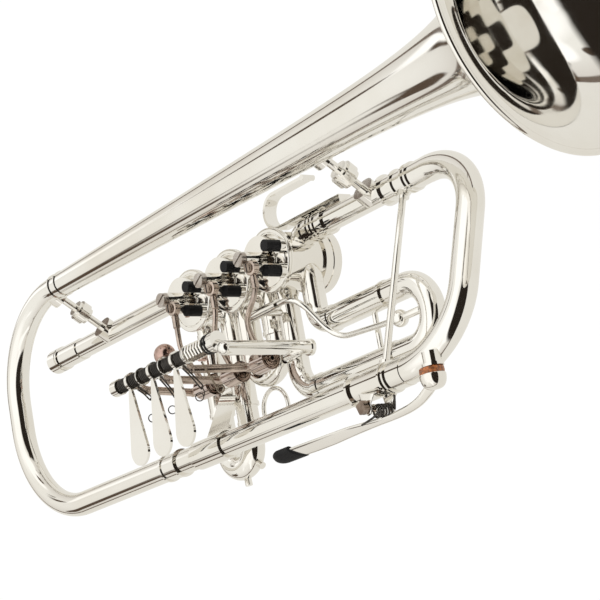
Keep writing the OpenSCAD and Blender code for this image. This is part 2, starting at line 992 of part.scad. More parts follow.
module third_slide_crook() {
    half = (third_upper_y - third_lower_y) / 2;
    middle = (third_upper_y + third_lower_y) / 2;
    bow = sleeve_r - 0.1;
    color(silver) difference() {
        union() {
            for (y = [third_upper_y, third_lower_y]) {
                translate([0, y, 0]) {
                    pipe_x(272, third_bow_x, inner_r, inner_r - wall);
                    pipe_x(third_sleeve_x + 2, third_bow_x, bow, inner_r);
                }
            }
            translate([third_bow_x, middle, 0]) rotate(-90)
                bend(half, 180, bow, inner_r - wall);
        }
    }
}

// Knob inside the third bow and the wire that runs back over the tubes
module trigger_rod() {
    middle = (third_upper_y + third_lower_y) / 2;
    z = 3.5;
    inside = third_bow_x + (third_upper_y - third_lower_y) / 2;
    color(silver) difference() {
        union() {
            translate([315, middle, z]) {
                sphere(r = 4.4);
                disc_x(0, inside - 315, 1.9);
            }
            bent_bar([
                [313, middle, z],
                [266, middle + 3.5, z],
                [258, guide_y, guide_z],
                [222, guide_y, guide_z]
            ], 1.5);
        }
        translate([third_bow_x, middle, 0]) rotate(-90)
            bend(inside - third_bow_x, 180, sleeve_r - 0.1, 0.01);
    }
}

module trigger_guide() {
    lower_x = valve_at(2) - port_offset;
    color(silver) difference() {
        union() {
            translate([0, guide_y, guide_z]) disc_x(219.6, 243, 2.7);
            translate([lower_x, guide_y, 0]) disc_z(3, guide_z - 1, 1.8);
        }
        translate([0, guide_y, guide_z]) disc_x(221, 244, 1.5 + slide_fit);
        translate([lower_x, 0, 0]) disc_y(-70, -20, tube_r);
    }
}

module tuning_bow() {
    bore = tuning_r - wall - 0.4;
    color(silver) in_tuning_plane() {
        translate([tuning_x, -tuning_radius, 0]) bend(tuning_radius, 90, tuning_r, bore);
        translate([tuning_x + tuning_radius, 0, 0])
            pipe_y(-loop_width + tuning_radius, -tuning_radius, tuning_r, bore);
        translate([tuning_x, -loop_width + tuning_radius, 0]) rotate(-90)
            bend(tuning_radius, 90, tuning_r, bore);
    }
}

// Outer sleeves that ride on the upper leg and on the lower tube
module tuning_sleeves() {
    color(silver) {
        tuning_sleeve(upper_ring_x, tube_r + slide_fit, [329, 337, 340]);
        at_low() tuning_sleeve(lower_ring_x, low_r + slide_fit, [336.6, 339.6]);
    }
}

module tuning_sleeve(x0, inner, rings) {
    pipe_x(x0, tuning_x, inner + 0.65, inner);
    pipe_x(x0, x0 + 1.6, inner + 2, inner);
    for (x = rings) {
        pipe_x(x, x + 1.2, inner + 1.5, inner);
    }
}

module tuning_brace() {
    p = [brace_x, 0, 0];
    q = [brace_x, low_y, side_rise];
    d = (q - p) / norm(q - p);
    color(silver) difference() {
        union() {
            bar(p, q, 1.75);
            bar(p, p + d * 9.2, 3.2);
            bar(q, q - d * 9.6, 3.2);
        }
        disc_x(320, 348, tube_r + slide_fit + 0.65);
        at_low() disc_x(320, 348, low_r + slide_fit + 0.65);
    }
}

// Nipple that the cork closes
module water_key_seat() {
    color(silver) translate([key_x, 0, key_z]) difference() {
        union() {
            disc_y(key_y, key_y + 7, 4.2);
            disc_y(key_y, key_y + 1.4, 5.2);
        }
        disc_y(key_y - 1, key_y + 8, 1.4);
        translate([-key_x, 0, -key_z]) in_tuning_plane()
            translate([tuning_x, -loop_width + tuning_radius, 0]) rotate(-90)
                bend(tuning_radius, 90, tuning_r, 0.01, $fn = 120);
    }
}

// Two cheeks under the lower sleeve
module water_key_post() {
    color(silver) difference() {
        for (side = [-1, 1]) {
            translate([key_hinge_x, key_hinge_y, side_rise + side * 7.6 - 0.8]) {
                translate([-3.6, 0, 0]) cube([7.2, low_y - key_hinge_y, 1.6]);
                cylinder(r = 3.6, h = 1.6);
            }
        }
        at_low() disc_x(310, 345, low_r + slide_fit + 0.65);
        translate([key_hinge_x, key_hinge_y, side_rise - 12]) cylinder(r = 1.3, h = 24);
    }
}

module water_key_screw() {
    color(dark) translate([key_hinge_x, key_hinge_y, side_rise]) {
        disc_z(-9, 8.4, 1.3);
        difference() {
            disc_z(8.4, 10.2, 2.6);
            translate([-4, -0.4, 9.4]) cube([8, 0.8, 2]);
        }
    }
}

// Cup under the nipple, arm over the hinge and long touch piece
module water_key_lever() {
    color(silver) difference() {
        union() {
            translate([key_x, 0, key_z]) {
                disc_y(cup_top - 5, cup_top + 1, 5.6);
                disc_y(cup_top - 6, cup_top - 5, 4.2);
            }
            translate([key_hinge_x, key_hinge_y, side_rise]) {
                disc_z(-6.6, 6.6, 2.4);
                for (z = [-6.6, 4.8]) {
                    translate([-1.8, -key_drop, z]) cube([3.6, key_drop, 1.8]);
                }
                translate([-4, -key_drop - 1.7, -6.6]) cube([8, 3.4, 13.2]);
            }
            bar([key_x, cup_top - 3.6, key_z],
                [key_hinge_x, key_hinge_y - key_drop, side_rise], 2.1);
            touch_piece();
        }
        translate([key_x, 0, key_z]) disc_y(cup_top, cup_top + 3, cork_r);
        translate([key_hinge_x, key_hinge_y, side_rise - 8])
            cylinder(r = 1.3 + slide_fit, h = 16);
    }
}

module water_key_cork() {
    color(amber) translate([key_x, 0, key_z])
        disc_y(cup_top, key_y, cork_r);
}

// Frame at the free end of the touch piece, its X pointing back at the hinge
module at_key_tip() {
    translate([key_hinge_x, key_hinge_y - key_drop, side_rise]) rotate(-1.5)
        translate([key_tip_x - key_hinge_x, 0, 0]) rotate([90, 0, 0]) children();
}

module water_key_tip() {
    color(dark) difference() {
        at_key_tip() linear_extrude(5, center = true) {
            circle(r = 5.6);
            translate([0, -5.6]) square([14, 11.2]);
        }
        touch_piece();
    }
}

// Long flat leaf, broad across the push and rounded at its free end
module touch_piece() {
    half = 4.8;
    run = key_hinge_x - key_tip_x;
    at_key_tip() linear_extrude(2.4, center = true) {
        circle(r = half);
        polygon([[0, half], [30, half], [run, 2.4],
            [run, -2.4], [30, -half], [0, -half]]);
    }
}

module water_key_spring() {
    points = coil_points(3.3, spring_pitch, 5, spring_wire, 1);
    color(dark) translate([key_hinge_x, key_hinge_y, side_rise + spring_pitch * 2.5])
        rotate([0, 90, 0]) wire_along(points, spring_wire);
}

bell();
bell_bow();
lower_tube();
main_ferrules();
leadpipe();
mouthpiece_receiver();
upper_leg();
rear_brace();
front_brace();
lower_brace();
finger_hook();
valve_1_casing();
valve_2_casing();
valve_3_casing();
valve_links();
bearing_plates();
rear_caps();
bumper_cups();
stop_bumpers();
rotor_1();
rotor_2();
rotor_3();
stop_arm_1();
stop_arm_2();
stop_arm_3();
stop_screw_1();
stop_screw_2();
stop_screw_3();
link_rod_1();
link_rod_2();
link_rod_3();
lever_1();
lever_2();
lever_3();
lever_spring_1();
lever_spring_2();
lever_spring_3();
lever_axle();
axle_bracket();
axle_end_spring();
rest_ball();
first_slide_sleeves();
first_slide_crook();
second_slide_sleeves();
second_slide_crook();
second_slide_ring();
third_slide_tubes();
third_slide_crook();
trigger_rod();
trigger_guide();
tuning_bow();
tuning_sleeves();
tuning_brace();
water_key_seat();
water_key_post();
water_key_screw();
water_key_lever();
water_key_cork();
water_key_tip();
water_key_spring();
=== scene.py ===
import math

import bpy
import numpy as np
from bpy.props import FloatProperty, FloatVectorProperty, IntProperty, PointerProperty
from mathutils import Matrix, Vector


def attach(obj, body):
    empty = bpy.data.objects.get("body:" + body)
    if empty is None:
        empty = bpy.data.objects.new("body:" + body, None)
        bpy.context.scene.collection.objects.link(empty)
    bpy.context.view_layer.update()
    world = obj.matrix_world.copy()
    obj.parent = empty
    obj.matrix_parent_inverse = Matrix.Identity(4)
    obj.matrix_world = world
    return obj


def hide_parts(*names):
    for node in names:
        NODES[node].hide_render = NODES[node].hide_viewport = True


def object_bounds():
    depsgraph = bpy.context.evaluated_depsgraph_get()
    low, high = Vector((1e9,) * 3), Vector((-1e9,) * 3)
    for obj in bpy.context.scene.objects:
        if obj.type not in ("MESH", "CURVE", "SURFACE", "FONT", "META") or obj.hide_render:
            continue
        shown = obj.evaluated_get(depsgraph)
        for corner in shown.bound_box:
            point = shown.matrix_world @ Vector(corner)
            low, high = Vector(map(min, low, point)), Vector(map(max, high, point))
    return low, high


bl_info = {
    "name": "Rotary valve trumpet",
    "version": (1, 0, 0),
    "blender": (4, 5, 0),
    "location": "3D View > Sidebar > Trumpet",
    "description": "Dresses the packed trumpet with plated tubing, wires and screws",
    "category": "Object",
}

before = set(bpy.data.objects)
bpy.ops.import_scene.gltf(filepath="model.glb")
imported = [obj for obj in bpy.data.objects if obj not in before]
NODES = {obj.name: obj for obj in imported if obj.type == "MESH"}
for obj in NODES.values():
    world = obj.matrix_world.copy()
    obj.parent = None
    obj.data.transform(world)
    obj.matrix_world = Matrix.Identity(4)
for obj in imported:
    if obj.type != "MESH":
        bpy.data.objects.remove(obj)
CAD_BOX = [[float(c) for c in corner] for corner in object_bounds()]
MM = 0.001
X_AXIS, Y_AXIS, Z_AXIS, DOWN = (1, 0, 0), (0, 1, 0), (0, 0, 1), (0, -1, 0)

# Places that the part's source uses, in millimetres
BELL_Y, SIDE_Z = 26.0, 37.6
BELL_LENGTH, BELL_END = 415.0, 482.0
VALVES_X, VALVE_Y = (167.5, 203.5, 239.5), -11.2
HUBS_X, AXLE_Y, AXLE_Z = (162.9, 184.1, 205.3), -54.6, 60.0
CUPS_X, CUP_Y, CUP_Z = (177.0, 202.5, 228.0), -62.0, 22.0
STUD, STUD_TOP, ROD_Z = 6.505, 36.4, 33.6
GUIDE = (-36.0, 19.0)
KEY_HINGE = (326.0, -112.0, 37.6)

# The bell's flare: how fast it opens, and how much its straight part gains
BELL_FLARE, BELL_GAIN = 24.0, 8.0

# Link rods and push rod. A knee is how far a rod's second bend lies toward the receiver.
ROD_RADIUS, ROD_BALL, ROD_BEND = 1.45, 2.4, 7.0
ROD_BENDS_Y, KNEES = (-30.0, -42.0), (0.0, 5.0, 13.0)
PUSH_RADIUS, PUSH_BALL, PUSH_BEND = 1.5, 4.4, 11.0
PUSH_Y, PUSH_Z = -64.5, 3.5

# Profiles to turn about an axis, as (along, out) pairs in millimetres
ROD_EYE = ((-1.9, 3.5), (-1.6, 3.9), (1.6, 3.9), (1.9, 3.5), (1.9, 1.8), (-1.9, 1.8))
ROD_COLLAR = ((-0.5, 1.3), (0.0, 1.95), (6.4, 1.95), (6.9, 1.3))
PUSH_STEM = ((0.0, 1.2), (0.3, 1.9), (13.6, 1.9), (14.0, 1.6))
PLATE_RIM = (
    (13.5, 16.7), (13.6, 17.0), (14.6, 17.1), (14.85, 16.6), (15.1, 17.1), (16.3, 17.1),
    (16.75, 16.95), (16.98, 16.6), (17.05, 16.0), (16.98, 14.7), (16.6, 14.4), (16.6, 14.0),
)
PLATE_BOSS = ((18.3, 7.4), (18.55, 7.25), (18.6, 6.9), (18.6, 4.05), (13.5, 4.05))
SCREW_HEAD = ((-0.8, 2.0), (-0.8, 2.55), (0.5, 2.6), (0.9, 2.3), (1.0, 1.2))
CUP_WALL = ((108.0, 0.4), (108.0, 4.9), (106.9, 5.0), (106.6, 5.6), (106.9, 6.1))
CUP_FOOT = (113.85, 0.3)
CORK = ((103.4, 4.2), (103.5, 5.2), (104.0, 5.75), (105.6, 5.9), (107.2, 5.6), (107.6, 4.8))

# Height of a bearing plate's dome above its foot, and the two radii between which it falls
DOME_FOOT, DOME_RISE, DOME_INNER, DOME_OUTER, DOME_SPAN = 17.0, 0.75, 7.4, 13.7, 6.3

# Spring wires: where each starts from its hub, half the gap between its two legs, where it
# ends and where its curl lies, then the pale spring's leg and eye
HAIRPIN_START, HAIRPIN_ASIDE = (3.2, -3.9, -1.6), (0.9, 0.6, 0.0)
HAIRPIN_ENDS = ((163.1, -64.0, 50.2), (186.0, -70.0, 49.7), (205.5, -69.0, 47.4))
CURLS = ((159.4, -74.0, 48.5), (177.0, -74.0, 47.5), (203.8, -74.0, 48.5))
CURL_PITCH, CURL_TURNS, CURL_THINNING = 1.1, 1.7, 0.62
EYE_START, EYE = (220.0, -59.8, 55.6), (216.0, -72.9, 43.4)
EYE_RADIUS, EYE_PITCH, EYE_TURNS = 1.75, 0.9, 1.05
WIRE_SIDES, COIL_STEPS = 10, 20

# Where the axle's clamp has its dark joints, and their inner and outer radius
CLAMP_JOINTS, CLAMP_RADII = ((234.0, 235.0), (236.0, 237.2)), (4.0, 5.25)

# The water key's blade: x, y, half width and half thickness, and the way its width lies
KEY_BLADE = (
    (250.0, -117.2, 3.1, 0.55), (262.0, -117.3, 3.3, 0.55), (276.7, -117.6, 3.4, 0.55),
    (291.0, -117.7, 3.3, 0.55), (305.1, -117.6, 2.9, 0.6), (318.9, -117.9, 2.2, 0.8),
    (327.8, -118.1, 1.8, 1.0), (336.8, -118.1, 1.8, 1.1), (345.6, -117.7, 1.9, 1.3),
    (352.0, -116.9, 2.0, 1.5), (357.6, -115.4, 2.2, 1.6), (363.0, -112.9, 2.4, 1.8),
    (366.5, -110.8, 2.5, 1.8),
)
KEY_ACROSS, KEY_BLADE_Z = (0.0, 0.77, 0.64), 39.5
KEY_CUP = (369.6, 0.0, 41.0)
KEY_STEM = (KEY_HINGE, (327.0, -114.5, 38.0), (329.5, -117.6, 39.2))
KEY_WIRE = 0.55

# The boot on the blade: its closed end, its middle's y, and its half width and thickness
BOOT_END, BOOT_Y, BOOT_WIDE, BOOT_THICK = 244.6, -117.0, 4.1, 1.8

# Camera, in metres: its place, and its right, up and forward directions
SENSOR_WIDTH, CLIP_START, CLIP_END = 36.0, 0.05, 50.0
CAMERA_PLACE = (1.014267, -0.271669, 0.649842)
CAMERA_AXES = (
    (0.600214, -0.174314, -0.780614),
    (0.288769, 0.957363, 0.008252),
    (-0.745892, 0.230370, -0.624959),
)
# Lamps: place, width and share of the key light's power, and the point they all face
LAMPS = {"soft_key": ((0.5, -0.9, 1.5), 1.4, 1.0), "soft_fill": ((-1.2, 0.6, 1.1), 1.0, 0.45)}
LAMP_AIM = (0.22, -0.03, 0.0)
FLOOR_HALF = 6000.0

# Sockets of the Mix node when it mixes colours
MIX_FACTOR, MIX_FIRST, MIX_SECOND, MIX_RESULT = 0, 6, 7, 2
# Noise levels between which cloudy tone and wear turn from one colour to the other
CLOUD_EDGES, WEAR_EDGES = (0.42, 0.72), (0.40, 0.66)
WHITE = (1.0, 1.0, 1.0)


# Settings

COLOUR = {"subtype": "COLOR", "size": 3, "min": 0, "max": 1}


class BellSettings(bpy.types.PropertyGroup):
    """Sizes of the flared bell, in millimetres."""

    rim_radius: FloatProperty(
        name="Rim radius", description="Middle of the rim's bead from the bell's axis",
        default=68.5, min=60, max=75,
    )
    bead_radius: FloatProperty(
        name="Bead radius", description="Radius of the rolled wire in the rim",
        default=1.5, min=1, max=2,
    )
    tail_radius: FloatProperty(
        name="Tail radius", description="Outer radius where the bell joins the bow",
        default=6.8, min=6, max=8,
    )
    wall: FloatProperty(
        name="Wall", description="Thickness of the bell's sheet", default=0.7, min=0.3, max=1
    )
    rounds: IntProperty(
        name="Faces round", description="Faces round the bell", default=192, min=48, max=256
    )


class WireSettings(bpy.types.PropertyGroup):
    """Sizes of the loose spring wires, in millimetres."""

    leg_radius: FloatProperty(
        name="Leg radius", description="Radius of the dark springs' wire legs",
        default=0.42, min=0.2, max=0.6,
    )
    curl_radius: FloatProperty(
        name="Curl radius", description="Radius of the curl at the end of each leg",
        default=2.1, min=1, max=3,
    )
    end_leg_radius: FloatProperty(
        name="End leg radius", description="Radius of the pale end spring's straight wire",
        default=0.55, min=0.3, max=0.9,
    )


class FinishSettings(bpy.types.PropertyGroup):
    """Colours of the finishes, as linear light."""

    silver: FloatVectorProperty(
        name="Silver plate", description="Clean silver plate",
        default=(0.90, 0.885, 0.85), **COLOUR,
    )
    silver_shade: FloatVectorProperty(
        name="Handled plate",
        description="Plate that has been handled and is a little yellow",
        default=(0.80, 0.765, 0.70), **COLOUR,
    )
    bronze: FloatVectorProperty(
        name="Link metal", description="Warm metal of the link rods and the lever arms",
        default=(0.66, 0.55, 0.475), **COLOUR,
    )
    rotor: FloatVectorProperty(
        name="Rotor metal", description="Bare metal of the rotors",
        default=(0.66, 0.56, 0.44), **COLOUR,
    )
    spring: FloatVectorProperty(
        name="Spring steel", description="Blackened wire of the springs",
        default=(0.12, 0.11, 0.10), **COLOUR,
    )
    rubber: FloatVectorProperty(
        name="Rubber", description="Stop bumpers and the water key's tip",
        default=(0.004, 0.004, 0.0045), **COLOUR,
    )
    cork: FloatVectorProperty(
        name="Cork", description="Water key's cork", default=(0.42, 0.13, 0.03), **COLOUR
    )
    ball: FloatVectorProperty(
        name="Rest ball", description="Ball beside the levers",
        default=(0.60, 0.42, 0.36), **COLOUR,
    )


class StudioSettings(bpy.types.PropertyGroup):
    """Camera, floor and light."""

    lens: FloatProperty(
        name="Lens", description="Focal length on a 36 mm sensor, in millimetres",
        default=120.0, min=20, max=300,
    )
    floor_drop: FloatProperty(
        name="Floor drop", description="How far the floor lies below the trumpet",
        subtype="DISTANCE", unit="LENGTH", default=0.28, min=0.03, max=1,
    )
    key_power: FloatProperty(
        name="Key light", description="Power of the large soft light, in watts",
        subtype="POWER", unit="POWER", default=14.0, min=0, max=200,
    )
    room: FloatVectorProperty(
        name="Room", description="Light of the room at the object",
        default=(0.93, 0.92, 0.90), **COLOUR,
    )


GROUPS = {
    "trumpet_bell": BellSettings,
    "trumpet_wires": WireSettings,
    "trumpet_finish": FinishSettings,
    "trumpet_studio": StudioSettings,
}


# Surfaces. A shape is a triple: points in millimetres, quads, and rings of points to close.


def grid_faces(rows, columns, wrap_rows=False, wrap_columns=False):
    """Quads over a rows x columns grid of points. Point (r, c) has index r * columns + c, and a
    wrapped direction joins its last line to its first."""
    r = np.arange(rows if wrap_rows else rows - 1)[:, None]
    c = np.arange(columns if wrap_columns else columns - 1)[None, :]
    down, right = (r + 1) % rows, (c + 1) % columns
    corners = [r * columns + c, r * columns + right, down * columns + right, down * columns + c]
    return np.stack(corners, -1).reshape(-1, 4)


def tube_shape(points, rows, sides):
    """The shape of a tube of points, rows along it and sides round it, closed at both ends."""
    rings = [np.arange(sides)[::-1], np.arange(sides) + (rows - 1) * sides]
    return points.reshape(-1, 3), grid_faces(rows, sides, wrap_columns=True), rings


def make_mesh(name, points, quads, rings=(), smooth_angle=40.0):
    """A mesh from a shape. A fan of triangles closes each ring round its middle point."""
    points = np.asarray(points, float).reshape(-1, 3) * MM
    middles, fans = [], [np.zeros((0, 3), int)]
    for ring in rings:
        ring = np.asarray(ring)
        middle = np.full(len(ring), len(points) + len(middles))
        middles.append(points[ring].mean(0))
        fans.append(np.stack([ring, np.roll(ring, -1), middle], -1))
    if middles:
        points = np.vstack([points, middles])
    triangles = np.vstack(fans)
    mesh = bpy.data.meshes.new(name)
    mesh.vertices.add(len(points))
    mesh.vertices.foreach_set("co", points.astype(np.float32).ravel())
    corners = np.concatenate([quads.ravel(), triangles.ravel()]).astype(np.int32)
    sizes = np.concatenate([np.full(len(quads), 4), np.full(len(triangles), 3)])
    starts = np.concatenate([[0], np.cumsum(sizes)[:-1]]).astype(np.int32)
    mesh.loops.add(len(corners))
    mesh.loops.foreach_set("vertex_index", corners)
    mesh.polygons.add(len(sizes))
    mesh.polygons.foreach_set("loop_start", starts)
    mesh.update(calc_edges=True)
    mesh.validate()
    mesh.shade_smooth()
    if smooth_angle:
        mesh.set_sharp_from_angle(angle=math.radians(smooth_angle))
    return mesh


def join_shapes(shapes):
    """Several shapes as one, with the later shapes' indices moved on."""
    points, quads, rings, base = [], [], [], 0
    for p, q, r in shapes:
        p = np.asarray(p, float).reshape(-1, 3)
        points.append(p)
        quads.append(q + base)
        rings += [np.asarray(ring) + base for ring in r]
        base += len(p)
    return np.vstack(points), np.vstack(quads), rings


def add_piece(name, shapes, body, material):
    """A new piece at the origin that rides on a CAD body and takes the given finish."""
    mesh = make_mesh(name, *join_shapes(shapes))
    piece = bpy.data.objects.new(name, mesh)
    bpy.context.scene.collection.objects.link(piece)
    mesh.materials.append(material)
    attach(piece, body)
    return piece


def circle(sides, square=1.0):
    """Cosine and sine at even steps round a circle, their sizes raised to the power square."""
    a = np.linspace(0, 2 * math.pi, sides, endpoint=False)
    return [np.sign(v) * np.abs(v) ** square for v in (np.cos(a), np.sin(a))]


def directions(path):
    """Unit tangents of a path: its central differences, each divided by its length."""
    tangent = np.gradient(path, axis=0)
    return tangent / np.linalg.norm(tangent, axis=1)[:, None]


def round_tube(path, radius, sides):
    """A circle carried along a path. The first side vector is Z less its part along the tangent,
    or Y where the path starts nearly along Z, and it is carried on without twist. The ring is the
    point plus radius times (cos a side + sin a other)."""
    path = np.asarray(path, float)
    tangent = directions(path)
    side = np.array(Z_AXIS, float)
    if abs(side @ tangent[0]) > 0.9:
        side = np.array(Y_AXIS, float)
    carried = []
    for t in tangent:
        side = side - t * (side @ t)
        side /= np.linalg.norm(side)
        carried.append(side)
    side = np.array(carried)
    other = np.cross(tangent, side)
    cosine, sine = circle(sides)
    ring = cosine[None, :, None] * side[:, None] + sine[None, :, None] * other[:, None]
    return tube_shape(path[:, None] + radius * ring, len(path), sides)


def turned(profile, origin, axis, side, rounds, closed=False):
    """A profile of (along, out) pairs turned about an axis: point (i, a) is origin + along_i axis
    + out_i (cos a side + sin a other). A closed profile joins its last pair to its first, and an
    open one is closed by discs."""
    profile, axis, side = (np.asarray(v, float) for v in (profile, axis, side))
    other = np.cross(axis, side)
    cosine, sine = circle(rounds)
    ring = cosine[None, :, None] * side + sine[None, :, None] * other
    points = np.asarray(origin, float) + profile[:, :1, None] * axis + profile[:, 1:, None] * ring
    if not closed:
        return tube_shape(points, len(profile), rounds)
    quads = grid_faces(len(profile), rounds, wrap_rows=True, wrap_columns=True)
    return points.reshape(-1, 3), quads, []


def sleeve(low, high, inner, outer):
    """The profile of a sleeve from low to high along the axis, inner to outer away from it."""
    return [(low, inner), (low, outer), (high, outer), (high, inner)]


def flat_bar(path, wide, thick, across, sides=28, square=0.55):
    """A rounded rectangle carried along a path: the ring is the point plus wide C across plus
    thick S normal, where C and S are the cosine and sine with their sizes raised to the power
    square. Both half sizes may change along the path."""
    path = np.asarray(path, float)
    tangent = directions(path)
    across = np.asarray(across, float)
    across = across - tangent * (tangent @ across)[:, None]
    across /= np.linalg.norm(across, axis=1)[:, None]
    normal = np.cross(tangent, across)
    cosine, sine = circle(sides, square)
    wide, thick = (np.broadcast_to(v, (len(path),))[:, None, None] for v in (wide, thick))
    points = path[:, None] + wide * cosine[None, :, None] * across[:, None]
    points = points + thick * sine[None, :, None] * normal[:, None]
    return tube_shape(points, len(path), sides)


def ball(centre, radius, rounds=32):
    """A sphere as a half circle turned about Z, cut just short of its poles."""
    a = np.linspace(-0.49 * math.pi, 0.49 * math.pi, rounds // 2)
    profile = np.stack([radius * np.sin(a), radius * np.cos(a)], -1)
    return turned(profile, centre, Z_AXIS, X_AXIS, rounds)


def smooth_path(knots, steps):
    """A cubic curve through the knots, steps points to a span: each span is the cubic whose end
    slopes are half the distance between the neighbouring knots."""
    k = np.asarray(knots, float)
    k = np.vstack([2 * k[0] - k[1], k, 2 * k[-1] - k[-2]])
    t = np.linspace(0, 1, steps, endpoint=False)[:, None]
    spans = []
    for i in range(1, len(k) - 2):
        p0, p1, p2, p3 = k[i - 1 : i + 3]
        square = 2 * p0 - 5 * p1 + 4 * p2 - p3
        cube = 3 * p1 - p0 - 3 * p2 + p3
        spans.append(0.5 * (2 * p1 + (p2 - p0) * t + square * t**2 + cube * t**3))
    return np.vstack([*spans, k[-2][None]])


def rounded(knots, reach, steps=9):
    """The broken line through the knots with each inner corner replaced by the quadratic curve
    that leaves it reach before the corner and joins it reach after."""
    k = np.asarray(knots, float)
    t = np.linspace(0, 1, steps)[:, None]
    rows = [k[:1]]
    for before, corner, after in zip(k[:-2], k[1:-1], k[2:]):
        a = corner + (before - corner) * min(0.48, reach / np.linalg.norm(before - corner))
        b = corner + (after - corner) * min(0.48, reach / np.linalg.norm(after - corner))
        rows.append((1 - t) ** 2 * a + 2 * t * (1 - t) * corner + t**2 * b)
    return np.vstack([*rows, k[-1:]])


def coil(centre, axis, side, radius, pitch, turns):
    """A helix: at angle a the point is centre + pitch a / 360 axis + radius (cos a side +
    sin a other), from 0 to all the turns."""
    axis, side = np.asarray(axis, float), np.asarray(side, float)
    other = np.cross(axis, side)
    a = np.linspace(0, 2 * math.pi * turns, int(COIL_STEPS * turns) + 1)[:, None]
    climb = axis * pitch * a / (2 * math.pi)
    return np.asarray(centre, float) + climb + radius * (np.cos(a) * side + np.sin(a) * other)


def bell_surface(rim, bead, tail, wall, rounds):
    """Turned about the bell's axis. At distance d from the rim the radius is tail + gain (1 - d /
    length) ^ 0.95 + (rim - tail - gain) exp(-(d / flare) ^ 0.85). The inner line lies a wall
    inside it, square to the slope, and an arc of the bead joins the two at the rim."""

    def radius(d):
        straight = tail + BELL_GAIN * (1 - d / BELL_LENGTH) ** 0.95
        return straight + (rim - tail - BELL_GAIN) * np.exp(-((d / BELL_FLARE) ** 0.85))

    step = 0.05
    d = BELL_LENGTH * np.linspace(3 / 36, 1, 150) ** 2.2
    slope = (radius(d) - radius(d - step)) / step
    k = wall / np.sqrt(1 + slope**2)
    outer = np.stack([BELL_END - d, radius(d)], -1)
    inner = np.stack([BELL_END - d - slope * k, radius(d) - k], -1)
    centre = np.array([BELL_END - bead, rim - bead])
    start, stop = (math.atan2(away[1], away[0]) for away in (outer[0] - centre, inner[0] - centre))
    if stop > start:
        stop -= 2 * math.pi
    arc = np.linspace(start, stop, 40)
    curl = centre + bead * np.stack([np.cos(arc), np.sin(arc)], -1)
    profile = np.vstack([outer[::-1], curl, inner])
    return turned(profile, (0, BELL_Y, SIDE_Z), X_AXIS, Y_AXIS, rounds, closed=True)


def boot_surface():
    """The boot on the key's blade: at u along it and angle a round it the point is end + (mouth(a)
    - end) u, plus the half width and half thickness times a quarter ellipse that opens over the
    first 40 %. The mouth runs from the near edge back to the far edge and bows in by 2 mm."""
    rows, sides = 28, 40
    u = (np.linspace(0.02, 1, rows) ** 1.6)[:, None]
    cosine, sine = (v[None, :] for v in circle(sides, 0.75))
    mouth = 259.0 + 9.6 * (1 - cosine) / 2 - 2.0 * (1 - cosine**2)
    opening = np.sqrt(1 - (1 - np.minimum(u / 0.4, 1)) ** 2)
    across = np.array(KEY_ACROSS) / np.linalg.norm(KEY_ACROSS)
    normal = np.cross(X_AXIS, across)
    x = BOOT_END + (mouth - BOOT_END) * u
    points = np.stack([x, np.full_like(x, BOOT_Y), np.full_like(x, KEY_BLADE_Z)], -1)
    points = points + (BOOT_WIDE * opening * cosine)[..., None] * across
    points = points + (BOOT_THICK * opening * sine)[..., None] * normal
    return tube_shape(points, rows, sides)


# Finishes


class Shade:
    """One socket of a material's nodes. Sums, products and powers of sockets and numbers become
    Math nodes."""

    def __init__(self, tree, socket):
        self.tree, self.socket = tree, socket

    def _math(self, operation, first, second):
        values = {0: first, 1: second}
        return add_node(self.tree, "ShaderNodeMath", {"operation": operation}, values)

    def __add__(self, other):
        return self._math("ADD", self, other)

    def __radd__(self, other):
        return self._math("ADD", other, self)

    def __sub__(self, other):
        return self._math("SUBTRACT", self, other)

    def __rsub__(self, other):
        return self._math("SUBTRACT", other, self)

    def __mul__(self, other):
        return self._math("MULTIPLY", self, other)

    def __rmul__(self, other):
        return self._math("MULTIPLY", other, self)

    def __pow__(self, other):
        return self._math("POWER", self, other)

    def ramp(self, low, high):
        """0 below low, 1 above high, and straight in between."""
        values = {0: self, 1: low, 2: high, 3: 0.0, 4: 1.0}
        return add_node(self.tree, "ShaderNodeMapRange", {"clamp": True}, values)


def add_node(tree, kind, settings=None, values=None, output=0):
    """One node: its settings first, then its sockets' values or links. Returns one output."""
    node = tree.nodes.new(kind)
    for name, value in (settings or {}).items():
        setattr(node, name, value)
    for key, value in (values or {}).items():
        if isinstance(value, Shade):
            tree.links.new(value.socket, node.inputs[key])
        else:
            node.inputs[key].default_value = value
    return Shade(tree, node.outputs[output])


def split(tree, vector):
    """The x, y and z of a vector."""
    node = add_node(tree, "ShaderNodeSeparateXYZ", None, {0: vector}).socket.node
    return [Shade(tree, output) for output in node.outputs]


def mix_colour(tree, factor, first, second):
    """The first colour where factor is 0 and the second where it is 1."""
    first, second = (v if isinstance(v, Shade) else (*v, 1.0) for v in (first, second))
    values = {MIX_FACTOR: factor, MIX_FIRST: first, MIX_SECOND: second}
    settings = {"data_type": "RGBA", "clamp_factor": True}
    return add_node(tree, "ShaderNodeMix", settings, values, MIX_RESULT)


def noise(tree, place, scale, detail, roughness=0.55):
    """Cloudy noise between 0 and 1."""
    values = {"Vector": place, "Scale": scale, "Detail": detail, "Roughness": roughness}
    return add_node(tree, "ShaderNodeTexNoise", None, values)


def stretched(tree, place, scale, turn=(0.0, 0.0, 0.0)):
    """The place scaled along each axis and turned, for a noise with a grain."""
    values = {"Vector": place, "Rotation": turn, "Scale": scale}
    return add_node(tree, "ShaderNodeMapping", None, values)


def scratches(tree, place):
    """Fine hairlines: the peaks of two noises, stretched 60 and 40 times in two directions."""
    along = stretched(tree, place, (40.0, 2400.0, 2400.0), (0.0, 0.0, 0.35))
    across = stretched(tree, place, (2400.0, 60.0, 2400.0), (0.5, 0.0, -0.4))
    one, two = (noise(tree, way, 1.0, 2.0) for way in (along, across))
    return one.ramp(0.66, 0.74) + two.ramp(0.68, 0.76)


